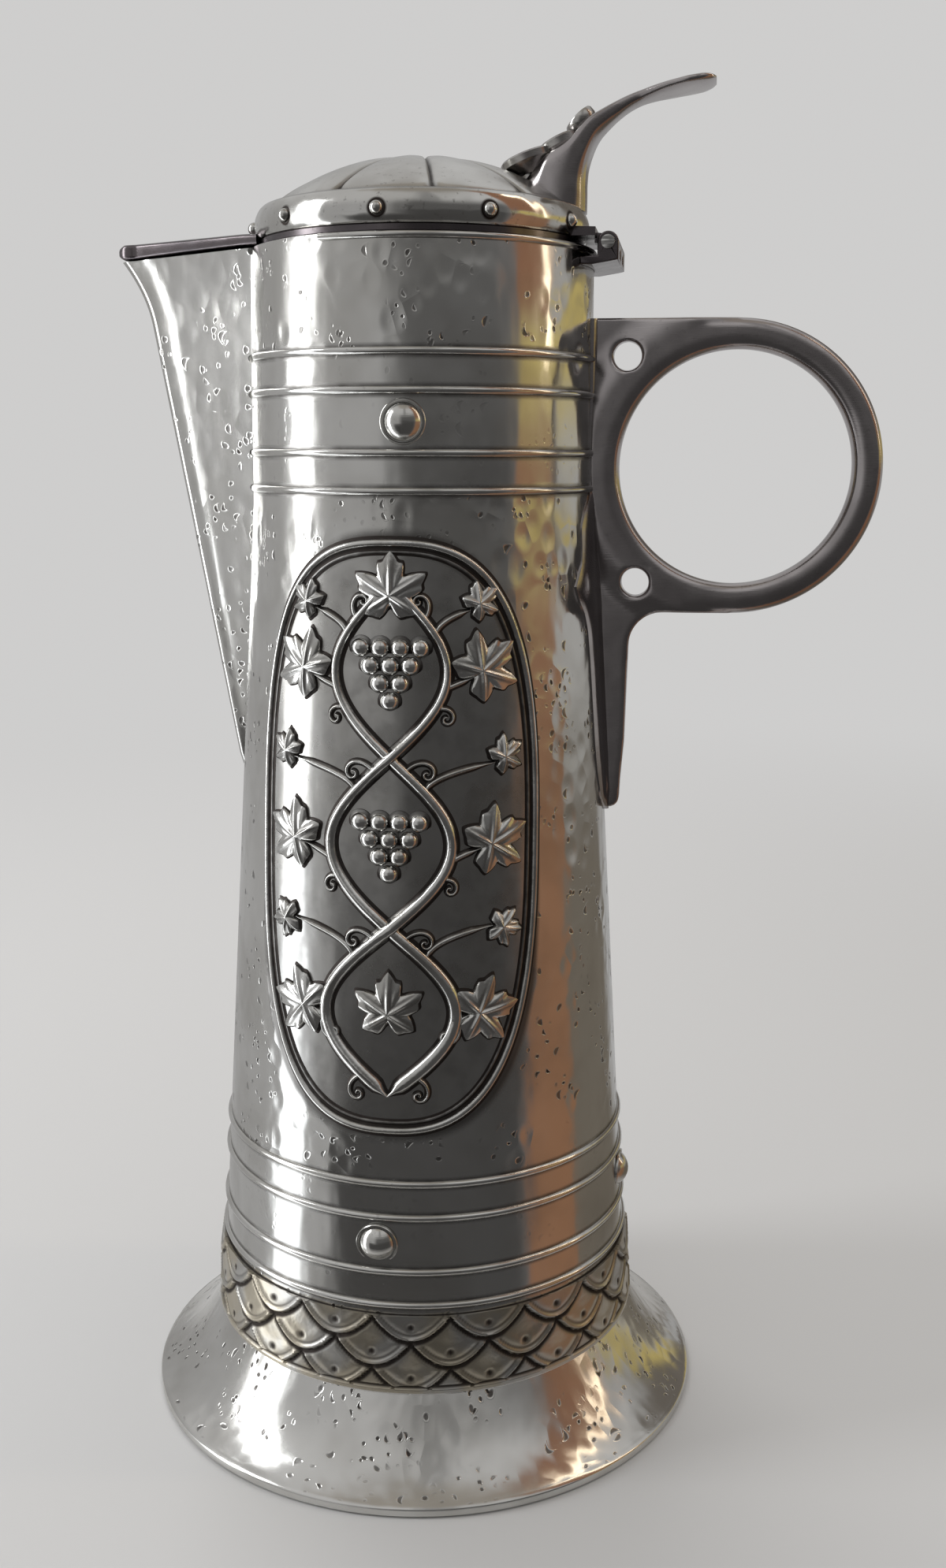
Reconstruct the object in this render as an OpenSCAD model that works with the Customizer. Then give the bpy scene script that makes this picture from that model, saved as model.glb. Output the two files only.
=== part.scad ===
// Claret jug with a hinged lid, a beak spout and a ring handle
// The axis is vertical, the foot stands on the plane z = 0, the spout points to -X and the handle to +X

/* [Body] */
// Height of the rim above the foot plane
rim_h = 336; // [326:1:346]
// Outer radius of the body at the rim
rim_r = 47.6; // [47:0.1:48.4]
// Height of the straight collar under the rim
collar_h = 67; // [60:1:74]
// Outer radius of the body where the collar meets the tapered part
waist_r = 48.1; // [47.6:0.1:49]
// Height of the body's lower end above the foot plane
base_h = 24; // [20:0.5:28]
// Outer radius of the body's lower end
base_r = 63.2; // [60:0.2:66]
// Thickness of the body wall
wall = 1.6; // [1.2:0.1:2.2]
// Thickness of the bottom plate
bottom_t = 2; // [1.5:0.1:3]
// Radius of the wire round the rim
rim_wire_r = 0.9; // [0.6:0.1:1.2]

/* [Foot] */
// Outer radius of the foot
foot_r = 83.4; // [76:0.2:90]
// Height of the upright edge of the foot
foot_edge_h = 2.4; // [1.6:0.1:3.5]
// Thickness of the foot
foot_t = 2; // [1.5:0.1:2.6]
// How far the flare sags below a straight cone
foot_sag = 3; // [1:0.1:4]

/* [Bands] */
// How far the middle of the upper ring band lies below the rim
upper_band_drop = 46.4; // [42:0.2:51]
// Middle height of the lower ring band
lower_band_h = 68; // [64:0.5:74]
// Distance between the two inner rings of a band
band_gap = 15.7; // [14:0.1:17]
// Distance between an inner ring and its outer neighbour
ring_gap = 9.7; // [8:0.1:11]
// Radius of the half round ring wire
ring_r = 1; // [0.7:0.05:1.3]
// Radius of the round bosses
boss_r = 5; // [4:0.1:5.8]
// How far the bosses stand out
boss_rise = 3; // [2:0.1:4]
// Width of the bosses' flat collar
boss_collar = 0.9; // [0.5:0.1:1.3]
// Turn of the upper bosses from the front, degrees
upper_boss_turn = 3.8; // [-10:0.2:10]
// Turn of the lower bosses from the front, degrees
lower_boss_turn = -2.8; // [-10:0.2:10]

/* [Scale band] */
// Height of the lower edge of the scale band
scale_low = 25.2; // [24.5:0.1:27]
// Rows of scales
scale_rows = 3; // [2:1:4]
// Scales in a row
scale_count = 18; // [14:1:22]
// Height of one row
scale_row_h = 7.5; // [6.5:0.1:7.6]
// Thickness of the band under the scales
scale_band_t = 0.7; // [0.5:0.1:1]
// How far a scale's lower edge stands out from the band
scale_rise = 1; // [0.6:0.1:1.4]
// Width of the groove between the scales
scale_groove = 0.4; // [0.2:0.1:0.8]
// Turn of the first scale from the front, degrees
scale_turn = 6.25; // [0:0.25:10]

/* [Spout] */
// Height of the spout from its lower end to the rim
spout_height = 145; // [131:1:156]
// Distance of the ridge from the axis at the lower end
spout_low_reach = 55.8; // [55.4:0.1:57]
// Distance of the ridge from the axis just under the lip
spout_reach = 81.6; // [78:0.2:85]
// How far the lip flares out past the ridge line
lip_flare = 5; // [3:0.2:6.5]
// Height over which the lip flares
lip_h = 18; // [12:1:24]
// Half of the spout's width where it meets the body at the rim
spout_half_w = 18; // [15:0.2:21]
// Outer radius of the rounded ridge at the rim
ridge_r = 3.6; // [3:0.1:4.5]
// Thickness of the spout's walls
spout_wall = 1.5; // [1.2:0.1:1.9]
// Fall of the spout's upper edge from the rim to the tip, degrees
spout_fall = 2.3; // [0:0.1:4]

/* [Lid] */
// Gap between the rim and the closed lid
seat_gap = 0.3; // [0.2:0.05:0.5]
// Outer radius of the lid's seat ring, which makes the dark joint line
seat_r = 44.8; // [44:0.1:46]
// Height of the seat ring
seat_h = 1.9; // [1.2:0.1:2.6]
// Largest outer radius of the convex band
lid_band_r = 46.2; // [45.6:0.1:47]
// Height of the convex band
lid_band_h = 8.6; // [7:0.1:10]
// Radius of the band's bulge
band_bulge_r = 7.5; // [6.5:0.1:9]
// Outer radius of the dome
dome_r = 41.4; // [38:0.2:42]
// Rise of the dome above the band
dome_rise = 13.4; // [9:0.2:18]
// Thickness of the lid
lid_t = 1.5; // [1.2:0.1:2]
// Depth of the locating ring inside the mouth
flange_h = 5; // [3:0.2:7]
// Clearance round the locating ring
flange_gap = 0.7; // [0.6:0.05:1]
// Number of round studs on the band
stud_count = 10; // [6:1:14]
// Radius of the studs
stud_r = 1.8; // [1.2:0.1:2.2]
// Turn of the first stud from the front, degrees
stud_turn = -4.4; // [-10:0.2:10]
// Reach of the tongue that covers the spout, from the axis
tongue_reach = 87.6; // [86.8:0.1:90]
// Thickness of the tongue at its middle
tongue_t = 3.4; // [2.6:0.1:4.2]
// Radius of the tongue's rounded tip
tongue_tip_r = 4.4; // [4.2:0.1:5]
// Gap between the tongue and the spout
tongue_gap = 0.3; // [0.2:0.05:0.5]

/* [Hinge] */
// Distance of the hinge axis from the jug's axis
hinge_x = 52.4; // [52:0.1:54]
// Height of the hinge axis above the rim
hinge_lift = 0.5; // [0:0.1:1.5]
// Outer radius of the knuckles
knuckle_r = 2.8; // [2.4:0.1:3]
// Length of one of the five knuckles
knuckle_l = 6; // [5:0.1:7]
// Gap between knuckles
knuckle_gap = 0.3; // [0.2:0.05:0.6]
// Radius of the hinge pin
pin_r = 1.2; // [1:0.05:1.4]
// Radial clearance of the pin in the lid's knuckles
pin_fit = 0.05; // [0.02:0.01:0.1]
// Thickness of the hinge leaves
leaf_t = 2.2; // [1.8:0.1:2.8]

/* [Thumbpiece] */
// Height of the thumbpiece above the rim
thumb_h = 44.8; // [40:0.2:48]
// Distance of the thumbpiece's tip from the axis
thumb_reach = 79.6; // [74:0.2:84]
// Width of the paddle at the tip
paddle_w = 18; // [14:0.5:24]
// Width of the stem under the paddle
stem_w = 9; // [7:0.5:12]
// Width of the foot of the thumbpiece on the lid
thumb_foot_w = 17; // [13:0.5:22]

/* [Handle] */
// Distance of the ring's centre from the jug's axis
ring_x = 87.7; // [86:0.1:90]
// How far the ring's centre lies below the rim
ring_drop = 58; // [54:0.5:62]
// Clear radius of the ring
finger_r = 31.8; // [29:0.1:33]
// Radial width of the ring bar
bar_w = 8.4; // [7:0.1:9]
// Thickness of the ring bar
bar_t = 8.8; // [7.5:0.1:10]
// Thickness of the web between the ring and the body
web_t = 5.6; // [4:0.1:7]
// Radius of the two round holes in the web
hole_r = 3.9; // [3:0.1:4.4]
// How far past the ring's outer edge the middle of the web's lower hole lies
hole_room_low = 1.3; // [1:0.1:2]
// The same for the upper hole
hole_room_high = 2.4; // [2:0.1:3]
// How far the strut stands out from the body at its low end
strut_out = 6; // [5:0.2:7.4]
// Length of the strut below the ring
strut_l = 57.8; // [50:0.2:66]
// How far the flange climbs above the ring's lowest point
flange_climb = 33.2; // [30:0.2:36]
// Thickness of the flange that lies on the body
flange_t = 1.2; // [0.8:0.1:1.8]

/* [Vine relief] */
// Free height between the lower ring band and the vine
vine_clear_low = 25.4; // [20:0.2:34]
// Free height between the vine and the upper ring band
vine_clear_high = 23; // [22:0.2:34]
// Half of the lowest loop's width
vine_swing = 19; // [17:0.5:20]
// Half of the width of the border round the vine, along the surface
border_half_w = 41; // [38:0.5:43]
// How far the border reaches above and below the vine
border_gap = 10; // [8:0.5:11]
// Half of the border's own width
border_r = 1; // [0.7:0.1:1.3]
// Half of the stem's width
stem_r = 1.7; // [1.2:0.1:2.2]
// How far the stems stand out
stem_rise = 1.7; // [1:0.1:2.4]
// Length of a leaf
leaf_size = 16; // [13:0.5:17]
// How far the leaves stand out
leaf_rise = 2.2; // [1.4:0.1:3]
// Radius of a grape
grape_r = 2.6; // [2.2:0.1:2.8]
// How far the grapes stand out
grape_rise = 2.6; // [1.8:0.1:3]

/* [Hidden] */
$fn = 96;
bright = [0.76, 0.75, 0.73];
dark = [0.42, 0.40, 0.39];
hinge_h = rim_h + hinge_lift;
waist_h = rim_h - collar_h;
upper_band_h = rim_h - upper_band_drop;
spout_low = rim_h - spout_height;
ring_h = rim_h - ring_drop;
foot_top_r = base_r;
band_half_h = band_gap / 2 + ring_gap;
band_offsets = [band_half_h, band_gap / 2, -band_gap / 2, -band_half_h];
scale_high = scale_low + scale_rows * scale_row_h;
scale_pitch = 360 / scale_count;
lid_low = rim_h + seat_gap;
band_low = lid_low + seat_h;
band_high = band_low + lid_band_h;
band_mid = (band_low + band_high) / 2 - 0.8;
dome_edge = band_high + 0.2;
dome_sphere_r = (dome_r * dome_r + dome_rise * dome_rise) / (2 * dome_rise);
mouth_r = rim_r - wall;
locating_in_r = mouth_r - flange_gap - lid_t;
seat_ledge = 3.2;
barrel_l = 5 * knuckle_l + 4 * knuckle_gap;
ring_out_r = finger_r + bar_w;
handle_top = ring_h + ring_out_r;
handle_low = ring_h - ring_out_r;
strut_low = handle_low - strut_l;
strut_x = body_r(strut_low) + strut_out;
flange_high = handle_low + flange_climb;
web_bend = max(strut_low + 2, min(waist_h, flange_high - 1));
web_hole_low = ring_out_r + hole_room_low;
web_hole_high = ring_out_r + hole_room_high;
spout_steps = 14;

// Outer radius of the body at a height
function body_r(z) = z >= waist_h
    ? waist_r + (rim_r - waist_r) * (z - waist_h) / (rim_h - waist_h)
    : base_r + (waist_r - base_r) * (z - base_h) / (waist_h - base_h);

// A point beside the body: arc is measured along the surface from the front, towards the handle
function by_body(arc, z, lift) = let (r = body_r(z), a = arc / r * 180 / PI)
    [(r + lift) * sin(a), -(r + lift) * cos(a), z];

// Lean of the body's side at a height, degrees
function body_tilt(z) = z >= waist_h
    ? atan((waist_r - rim_r) / (rim_h - waist_h))
    : atan((base_r - waist_r) / (waist_h - base_h));

// The same for an angle in degrees
function by_angle(a, z, lift) = [(body_r(z) + lift) * sin(a), -(body_r(z) + lift) * cos(a), z];

// The faces of a closed sheet: n points on top, the same n under them, and a middle point for each
function sheet_faces(n) = concat(
    [for (i = [0:n - 1]) [2 * n, (i + 1) % n, i]],
    [for (i = [0:n - 1]) [i, (i + 1) % n, n + (i + 1) % n]],
    [for (i = [0:n - 1]) [i, n + (i + 1) % n, n + i]],
    [for (i = [0:n - 1]) [2 * n + 1, n + i, n + (i + 1) % n]]
);

// Solid bounded by the body's outer surface, for cuts
module body_solid(extra = 0) {
    rotate_extrude()
        polygon([
            [0, base_h - extra], [body_r(base_h - extra), base_h - extra],
            [waist_r, waist_h], [body_r(rim_h + extra), rim_h + extra], [0, rim_h + extra]
        ]);
}

// The region outside the body's outline, in the plane of a rotate_extrude
module outside_body_2d() {
    polygon([
        [body_r(0), 0], [waist_r, waist_h], [body_r(rim_h + 20), rim_h + 20],
        [200, rim_h + 20], [200, 0]
    ]);
}

// The body's V shaped opening into the spout
module spout_mouth() {
    translate([-base_r, 0, 0])
        rotate([90, 0, 90])
        linear_extrude(base_r)
        polygon([
            [-(spout_half_w - 2 * spout_wall), rim_h + 1], [spout_half_w - 2 * spout_wall, rim_h + 1],
            [2, spout_low + 30], [-2, spout_low + 30]
        ]);
}

module body_shell() {
    color(bright)
    difference() {
        rotate_extrude()
            polygon([
                [base_r - wall, base_h], [base_r, base_h], [waist_r, waist_h], [rim_r, rim_h],
                [rim_r - wall, rim_h], [waist_r - wall, waist_h]
            ]);
        spout_mouth();
    }
}

module bottom_plate() {
    low = base_h + 1;
    color(bright)
    rotate_extrude()
        polygon([
            [0, low], [body_r(low) - wall, low],
            [body_r(low + bottom_t) - wall, low + bottom_t], [0, low + bottom_t]
        ]);
}

// Outline of the foot's flare: t runs from the top to the edge
function flare(t, inset) = [
    foot_top_r + (foot_r - foot_top_r) * t - inset,
    base_h + (foot_edge_h - base_h) * t - foot_sag * sin(180 * t)
];

module foot() {
    color(bright)
    rotate_extrude()
        polygon(concat(
            [[foot_top_r - wall - 1, base_h]],
            [for (i = [0:8]) flare(i / 8, 0)],
            [[foot_r, 0.5], [foot_r - 0.5, 0], [foot_r - foot_t, 0]],
            [for (i = [8:-1:0]) flare(i / 8, foot_t + 0.6 * (1 - i / 8))]
        ));
}

// Outline of one scale as [degrees, height]: the lower edge is a bow, and the upper edge
// follows the bows of the row above
function scale_bow(u) = 1 - 4 * u * u;
function scale_outline(corner_z, full, n = 6) = concat(
    [for (i = [0:n]) let (u = i / n - 0.5)
        [u * scale_pitch, corner_z - (scale_row_h - scale_groove) * scale_bow(u)]],
    [for (i = [n - 1:-1:1]) let (u = i / n - 0.5)
        [u * scale_pitch, corner_z + (full ? scale_row_h * (1 - scale_bow(0.5 - abs(u))) : 0)]]
);

module one_scale(turn, corner_z, full) {
    outline = scale_outline(corner_z, full);
    n = len(outline);
    squeeze = 1 - scale_groove / (base_r * scale_pitch * PI / 180);
    top = [for (p = outline) let (low = max(0, (corner_z - p[1]) / scale_row_h))
        by_angle(turn + p[0] * squeeze, p[1], scale_band_t + 0.15 + (scale_rise - 0.15) * low)];
    under = [for (p = outline) by_angle(turn + p[0] * squeeze, p[1], scale_band_t)];
    polyhedron(
        points = concat(top, under, [
            by_angle(turn, corner_z - 1, scale_band_t + scale_rise * 0.8),
            by_angle(turn, corner_z - 1, scale_band_t)
        ]),
        faces = sheet_faces(n)
    );
}

module scale_band() {
    color(dark)
    rotate_extrude()
        polygon([
            [body_r(scale_low), scale_low], [body_r(scale_low) + scale_band_t, scale_low],
            [body_r(scale_high) + scale_band_t, scale_high], [body_r(scale_high), scale_high]
        ]);
}

module band_scales() {
    color(dark)
    for (row = [0:scale_rows - 1], i = [0:scale_count - 1])
        one_scale(
            scale_turn + scale_pitch * (i + (row % 2) / 2),
            scale_high - row * scale_row_h - scale_groove / 2,
            row > 0
        );
}

module rim_wire() {
    color(bright)
    difference() {
        half_round(rim_h - rim_wire_r, rim_wire_r);
        room_at(-1, spout_side(rim_h), rim_h);
    }
}

// A half round wire round the body
module half_round(z, r) {
    rotate_extrude()
        intersection() {
            translate([body_r(z), z])
                circle(r);
            outside_body_2d();
        }
}

// A gap in a wire for the spout or the handle: side is -1 or 1
module room_at(side, half_w, z) {
    translate([side > 0 ? 0 : -base_r, -half_w, z - 3 * ring_r])
        cube([base_r, 2 * half_w, 6 * ring_r]);
}

module upper_ring(z) {
    color(bright)
    difference() {
        half_round(z, ring_r);
        room_at(-1, spout_side(z), z);
        room_at(1, handle_side(z), z);
    }
}

// Half width of what the handle covers on the body: its flange, its ring bar or its web
function handle_side(z) = z < flange_high
    ? max(flange_side(z), bar_t / 2)
    : abs(z - ring_h) < bar_w * 1.5 ? bar_t / 2 : web_t / 2;

module lower_ring(z) {
    color(bright)
    half_round(z, ring_r);
}

// A round boss with a flat collar, its back let into the wall as far as the wall curves away
module boss(angle, z) {
    cap_r = (boss_r * boss_r + boss_rise * boss_rise) / (2 * boss_rise);
    outer = boss_r + boss_collar;
    sunk = body_r(z) - sqrt(body_r(z) * body_r(z) - outer * outer);
    rotate([0, 0, angle])
        translate([0, -body_r(z), z])
        rotate([90 + body_tilt(z), 0, 0])
        union() {
            translate([0, 0, -sunk])
                cylinder(r = outer, h = sunk + 0.5);
            rotate_extrude()
                intersection() {
                    translate([0, boss_rise - cap_r])
                        circle(cap_r);
                    square([boss_r, boss_rise + 1]);
                }
        }
}

module upper_bosses() {
    color(bright)
    for (angle = [0, 180])
        boss(upper_boss_turn + angle, upper_band_h);
}

module lower_bosses() {
    color(bright)
    for (angle = [0, 90, 180, 270])
        boss(lower_boss_turn + angle, lower_band_h);
}

// A raised wire on the body along a path of [arc, height, half width]; looped joins its ends
module wire_on_body(path, rise, looped) {
    n = len(path);
    last = looped ? n : n - 1;
    rows = [for (i = [0:n - 1])
        let (
            back = path[looped ? (i + n - 1) % n : max(i - 1, 0)],
            ahead = path[looped ? (i + 1) % n : min(i + 1, n - 1)],
            run = [ahead[0] - back[0], ahead[1] - back[1]],
            along = run / norm(run),
            w = path[i][2]
        )
        [for (p = [[-1, 0], [-0.7, 0.7], [0, 1], [0.7, 0.7], [1, 0]])
            by_body(path[i][0] + along[1] * p[0] * w, path[i][1] - along[0] * p[0] * w, p[1] * rise)]];
    m = 5;
    polyhedron(
        points = [for (row = rows) each row],
        faces = concat(
            [for (i = [0:last - 1], j = [0:m - 1]) let (i2 = (i + 1) % n, j2 = (j + 1) % m)
                each [[i * m + j, i2 * m + j2, i * m + j2], [i * m + j, i2 * m + j, i2 * m + j2]]],
            looped ? [] : [for (j = [1:m - 2]) [0, j, j + 1]],
            looped ? [] : [for (j = [1:m - 2]) [(n - 1) * m, (n - 1) * m + j + 1, (n - 1) * m + j]]
        )
    );
}

// The vine's levels, and the border round it: a tall oval with full corners
vine_loops = 3;
vine_low = lower_band_h + band_half_h + vine_clear_low;
vine_high = upper_band_h - band_half_h - vine_clear_high;
vine_loop = (vine_high - vine_low) / vine_loops;
vine_mid = (vine_low + vine_high) / 2;
border_power = 8 / 3;
border_half_h = (vine_high - vine_low) / 2 + border_gap;
module vine_border() {
    steps = 64;
    path = [for (i = [0:steps - 1]) let (a = i * 360 / steps)
        [
            border_half_w * sign(cos(a)) * pow(abs(cos(a)), 2 / border_power),
            vine_mid + border_half_h * sign(sin(a)) * pow(abs(sin(a)), 2 / border_power),
            border_r
        ]];
    color(dark)
        wire_on_body(path, border_r, true);
}

// How far the border's middle line lies from the vine's middle, along the surface, at a height
function border_at(z) =
    border_half_w * pow(1 - pow(abs(z - vine_mid) / border_half_h, border_power), 1 / border_power);

// A stem that swings from side to side up the body; side is 1 or -1
module vine_stem(side) {
    steps = 36;
    path = [for (i = [0:steps]) let (t = i / steps)
        [
            side * vine_swing * sin(180 * vine_loops * t) * (1 - 0.25 * t),
            vine_low + (vine_high - vine_low) * t,
            stem_r * (1.15 - 0.5 * t)
        ]];
    color(dark)
        wire_on_body(path, stem_rise, false);
}

// One vine leaf: arc and z place its middle, turn is its tip's direction; the outline is half of
// the leaf, as [degrees from the tip, share of the leaf's length]
leaf_half = [
    [0, 0.72], [13, 0.55], [22, 0.56], [34, 0.36], [47, 0.52], [58, 0.68], [70, 0.53], [80, 0.52],
    [94, 0.34], [108, 0.42], [124, 0.52], [140, 0.42], [157, 0.38], [172, 0.2]
];
module vine_leaf(arc, z, turn) {
    half = len(leaf_half);
    around = concat(
        [for (i = [half - 1:-1:0]) [leaf_half[i][0], leaf_half[i][1]]],
        [for (i = [1:half - 1]) [-leaf_half[i][0], leaf_half[i][1]]]
    );
    outline = [for (p = around)
        [arc + leaf_size * p[1] * sin(p[0] + turn), z + leaf_size * p[1] * cos(p[0] + turn)]];
    polyhedron(
        points = concat(
            [for (p = outline) by_body(p[0], p[1], leaf_rise * 0.45)],
            [for (p = outline) by_body(p[0], p[1], 0)],
            [by_body(arc, z, leaf_rise), by_body(arc, z, 0)]
        ),
        faces = sheet_faces(len(outline))
    );
}

// Leaves stand outside the loops, in pairs; one fills the lowest loop and one closes the top.
// A pair is its loop, how far its tips lean out, and the room between them and the border
leaf_tip = leaf_size * leaf_half[0][1];
leaf_pairs = [[-1, 80, 0.8], [0, 65, 2.5], [1, 50, 1]];
function leaf_place(side, pair) =
    let (z = vine_mid + pair[0] * vine_loop, turn = pair[1])
    [
        side * (border_at(z + leaf_tip * cos(turn)) - border_r - pair[2] - leaf_tip * sin(turn)),
        z,
        side * turn
    ];
top_leaf_room = 1;
leaf_places = concat(
    [for (side = [-1, 1], pair = leaf_pairs) leaf_place(side, pair)],
    [
        [0, vine_mid - vine_loop, 0],
        [0, vine_mid + border_half_h - border_r - top_leaf_room - leaf_tip, 0]
    ]
);
module vine_leaves() {
    color(dark)
    for (p = leaf_places)
        vine_leaf(p[0], p[1], p[2]);
}

// A hanging bunch of grapes: rows of four, three, two and one, each grape a dome let into the wall
module grape_bunch(z) {
    sunk = 0.15;
    color(dark)
    for (row = [0:3], i = [0:3 - row]) {
        height = z + (1.5 - row) * (1.74 * grape_r + 0.1);
        arc = (i - (3 - row) / 2) * (2 * grape_r + 0.1);
        rotate([0, 0, arc / body_r(height) * 180 / PI])
            translate([0, -body_r(height), height])
            rotate([90 + body_tilt(height), 0, 0])
            rotate_extrude()
            intersection() {
                translate([0, grape_rise - grape_r])
                    circle(grape_r);
                translate([0, -sunk])
                    square([grape_r, grape_rise + 1]);
            }
    }
}

// Distance of the ridge from the axis at a height
function ridge_x(z) =
    spout_low_reach + (spout_reach - spout_low_reach) * (z - spout_low) / (rim_h - spout_low)
    + lip_flare * pow(max(0, z - (rim_h - lip_h)) / lip_h, 2);

// Half of the spout's width where its sides meet the body, and of the opening inside
function spout_side(z) = 1.8 + (spout_half_w - 1.8) * (z - spout_low) / (rim_h - spout_low);

// Outline of the spout at a height, shrunk by an inset, from one side over the ridge to the other;
// the straight sides run on into the body, where they are cut off
function spout_outline(z, inset) =
    let (
        t = (z - spout_low) / (rim_h - spout_low),
        r = max(0.4, 1.8 + (ridge_r - 1.8) * t - inset),
        reach = max(ridge_x(z) - inset, body_r(z) + 0.1),
        half_w = max(0.5, spout_side(z) - inset * 1.1),
        corner = [-sqrt(body_r(z) * body_r(z) - half_w * half_w), half_w],
        arc = [for (i = [0:6]) let (a = 75 - i * 25) [-(reach - r + r * cos(a)), r * sin(a)]],
        along = (corner - arc[0]) / max(0.5, norm(corner - arc[0])),
        root = corner + 5 * (norm(along) > 0.9 && along[0] > 0.5 ? along : [1, 0])
    )
    concat(
        [[root[0], root[1], z]],
        [for (p = arc) [p[0], p[1], z]],
        [[root[0], -root[1], z]]
    );

module spout_loft(low, high, inset) {
    rows = [for (i = [0:spout_steps]) let (t = i / spout_steps)
        spout_outline(low + (high - low) * (1 - pow(1 - t, 1.6)), inset)];
    m = len(rows[0]);
    polyhedron(
        points = [for (row = rows) each row],
        faces = concat(
            [[for (j = [0:m - 1]) j]],
            [for (i = [0:spout_steps - 1], j = [0:m - 1])
                each [
                    [i * m + j, (i + 1) * m + (j + 1) % m, i * m + (j + 1) % m],
                    [i * m + j, (i + 1) * m + j, (i + 1) * m + (j + 1) % m]
                ]],
            [[for (j = [m - 1:-1:0]) spout_steps * m + j]]
        )
    );
}

// Everything above the spout's sloping upper edge
module above_spout() {
    translate([-rim_r, 0, rim_h])
        rotate([0, -spout_fall, 0])
        translate([-100, -60, 0])
        cube([100 + rim_r, 120, 60]);
}

module spout() {
    color(bright)
    difference() {
        spout_loft(spout_low, rim_h + 1, 0);
        spout_loft(spout_low + 8, rim_h + 2, spout_wall);
        body_solid(3);
        above_spout();
    }
}

// The handle's web in the plane of the ring; its inner edge lies on the flange, and above the
// flange on the body
module web_2d() {
    difference() {
        polygon([
            [body_r(handle_top) - 2, handle_top], [ring_x, handle_top], [ring_x, handle_low],
            [strut_x + 9, handle_low], [strut_x + 3, handle_low - 3.4], [strut_x, handle_low - 9],
            [strut_x - 0.6, strut_low + 20], [strut_x - 2.2, strut_low + 5],
            [strut_x - 4, strut_low + 1.4], [body_r(strut_low + 1) + flange_t, strut_low + 1],
            [body_r(web_bend) + flange_t, web_bend],
            [body_r(flange_high) + flange_t, flange_high],
            [body_r(flange_high) - 2, flange_high + 0.02]
        ]);
        translate([ring_x, ring_h])
            circle(finger_r + bar_w / 2);
    }
}

module handle() {
    color(dark)
    difference() {
        union() {
            translate([ring_x, 0, ring_h])
                rotate([90, 0, 0])
                rotate_extrude()
                translate([finger_r + bar_w / 2, 0])
                union() {
                    square([bar_w - 3.6, bar_t], center = true);
                    square([bar_w, bar_t - 3.6], center = true);
                    for (x = [-1, 1], y = [-1, 1])
                        translate([x * (bar_w / 2 - 1.8), y * (bar_t / 2 - 1.8)])
                            circle(1.8);
                }
            translate([0, web_t / 2, 0])
                rotate([90, 0, 0])
                linear_extrude(web_t)
                web_2d();
        }
        for (p = [[web_hole_low, 230], [web_hole_high, 135]])
            translate([ring_x + p[0] * cos(p[1]), 0, ring_h + p[0] * sin(p[1])])
            rotate([90, 0, 0]) {
                cylinder(r = hole_r, h = 3 * web_t, center = true);
                for (s = [-1, 1])
                    translate([0, 0, s * web_t / 2])
                        rotate([0, s < 0 ? 0 : 180, 0])
                        translate([0, 0, -0.5])
                        cylinder(r1 = hole_r + 1.3, r2 = hole_r - 0.2, h = 1.5);
            }
        body_solid(1);
    }
}

// The flange's half width along its height, as [height, half width]
flange_steps = [
    [strut_low + 1, 3], [strut_low + 6, 8], [strut_low + 20, 11.5], [strut_low + 45, 12.5],
    [handle_low - 3, 13.5], [handle_low + 3, 16.5], [handle_low + 8, 20],
    [handle_low + 13, 16], [handle_low + 24, 14.5], [handle_low + 31, 8], [flange_high, 3]
];
// The flange's half width at a height
function flange_side(z) = lookup(z, flange_steps);

module handle_flange() {
    n = len(flange_steps);
    m = 9;
    quarter = PI / 2;
    points = [for (lift = [flange_t, 0], s = flange_steps, j = [0:m - 1])
        let (across = (j / (m - 1) * 2 - 1))
        by_body(
            quarter * body_r(s[0]) + across * s[1], s[0],
            lift * (1 - 0.6 * pow(abs(across), 3))
        )];
    k = n * m;
    rim = concat(
        [for (j = [0:m - 2]) [j, j + 1]],
        [for (i = [0:n - 2]) [i * m + m - 1, (i + 1) * m + m - 1]],
        [for (j = [m - 1:-1:1]) [(n - 1) * m + j, (n - 1) * m + j - 1]],
        [for (i = [n - 1:-1:1]) [i * m, (i - 1) * m]]
    );
    color(dark)
    polyhedron(
        points = points,
        faces = concat(
            [for (i = [0:n - 2], j = [0:m - 2])
                each [
                    [i * m + j, (i + 1) * m + j, (i + 1) * m + j + 1],
                    [i * m + j, (i + 1) * m + j + 1, i * m + j + 1]
                ]],
            [for (i = [0:n - 2], j = [0:m - 2])
                each [
                    [k + i * m + j, k + (i + 1) * m + j + 1, k + (i + 1) * m + j],
                    [k + i * m + j, k + i * m + j + 1, k + (i + 1) * m + j + 1]
                ]],
            [for (e = rim) each [[e[0], e[1], k + e[1]], [e[0], k + e[1], k + e[0]]]]
        )
    );
}

// Start of a knuckle along the hinge axis; knuckles are numbered from 0 to 4
function knuckle_y(i) = -barrel_l / 2 + i * (knuckle_l + knuckle_gap);

// Places a shape drawn in the XZ plane at a knuckle
module at_knuckle(i) {
    translate([0, knuckle_y(i) + knuckle_l, 0])
        rotate([90, 0, 0])
        linear_extrude(knuckle_l)
        children();
}

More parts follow.
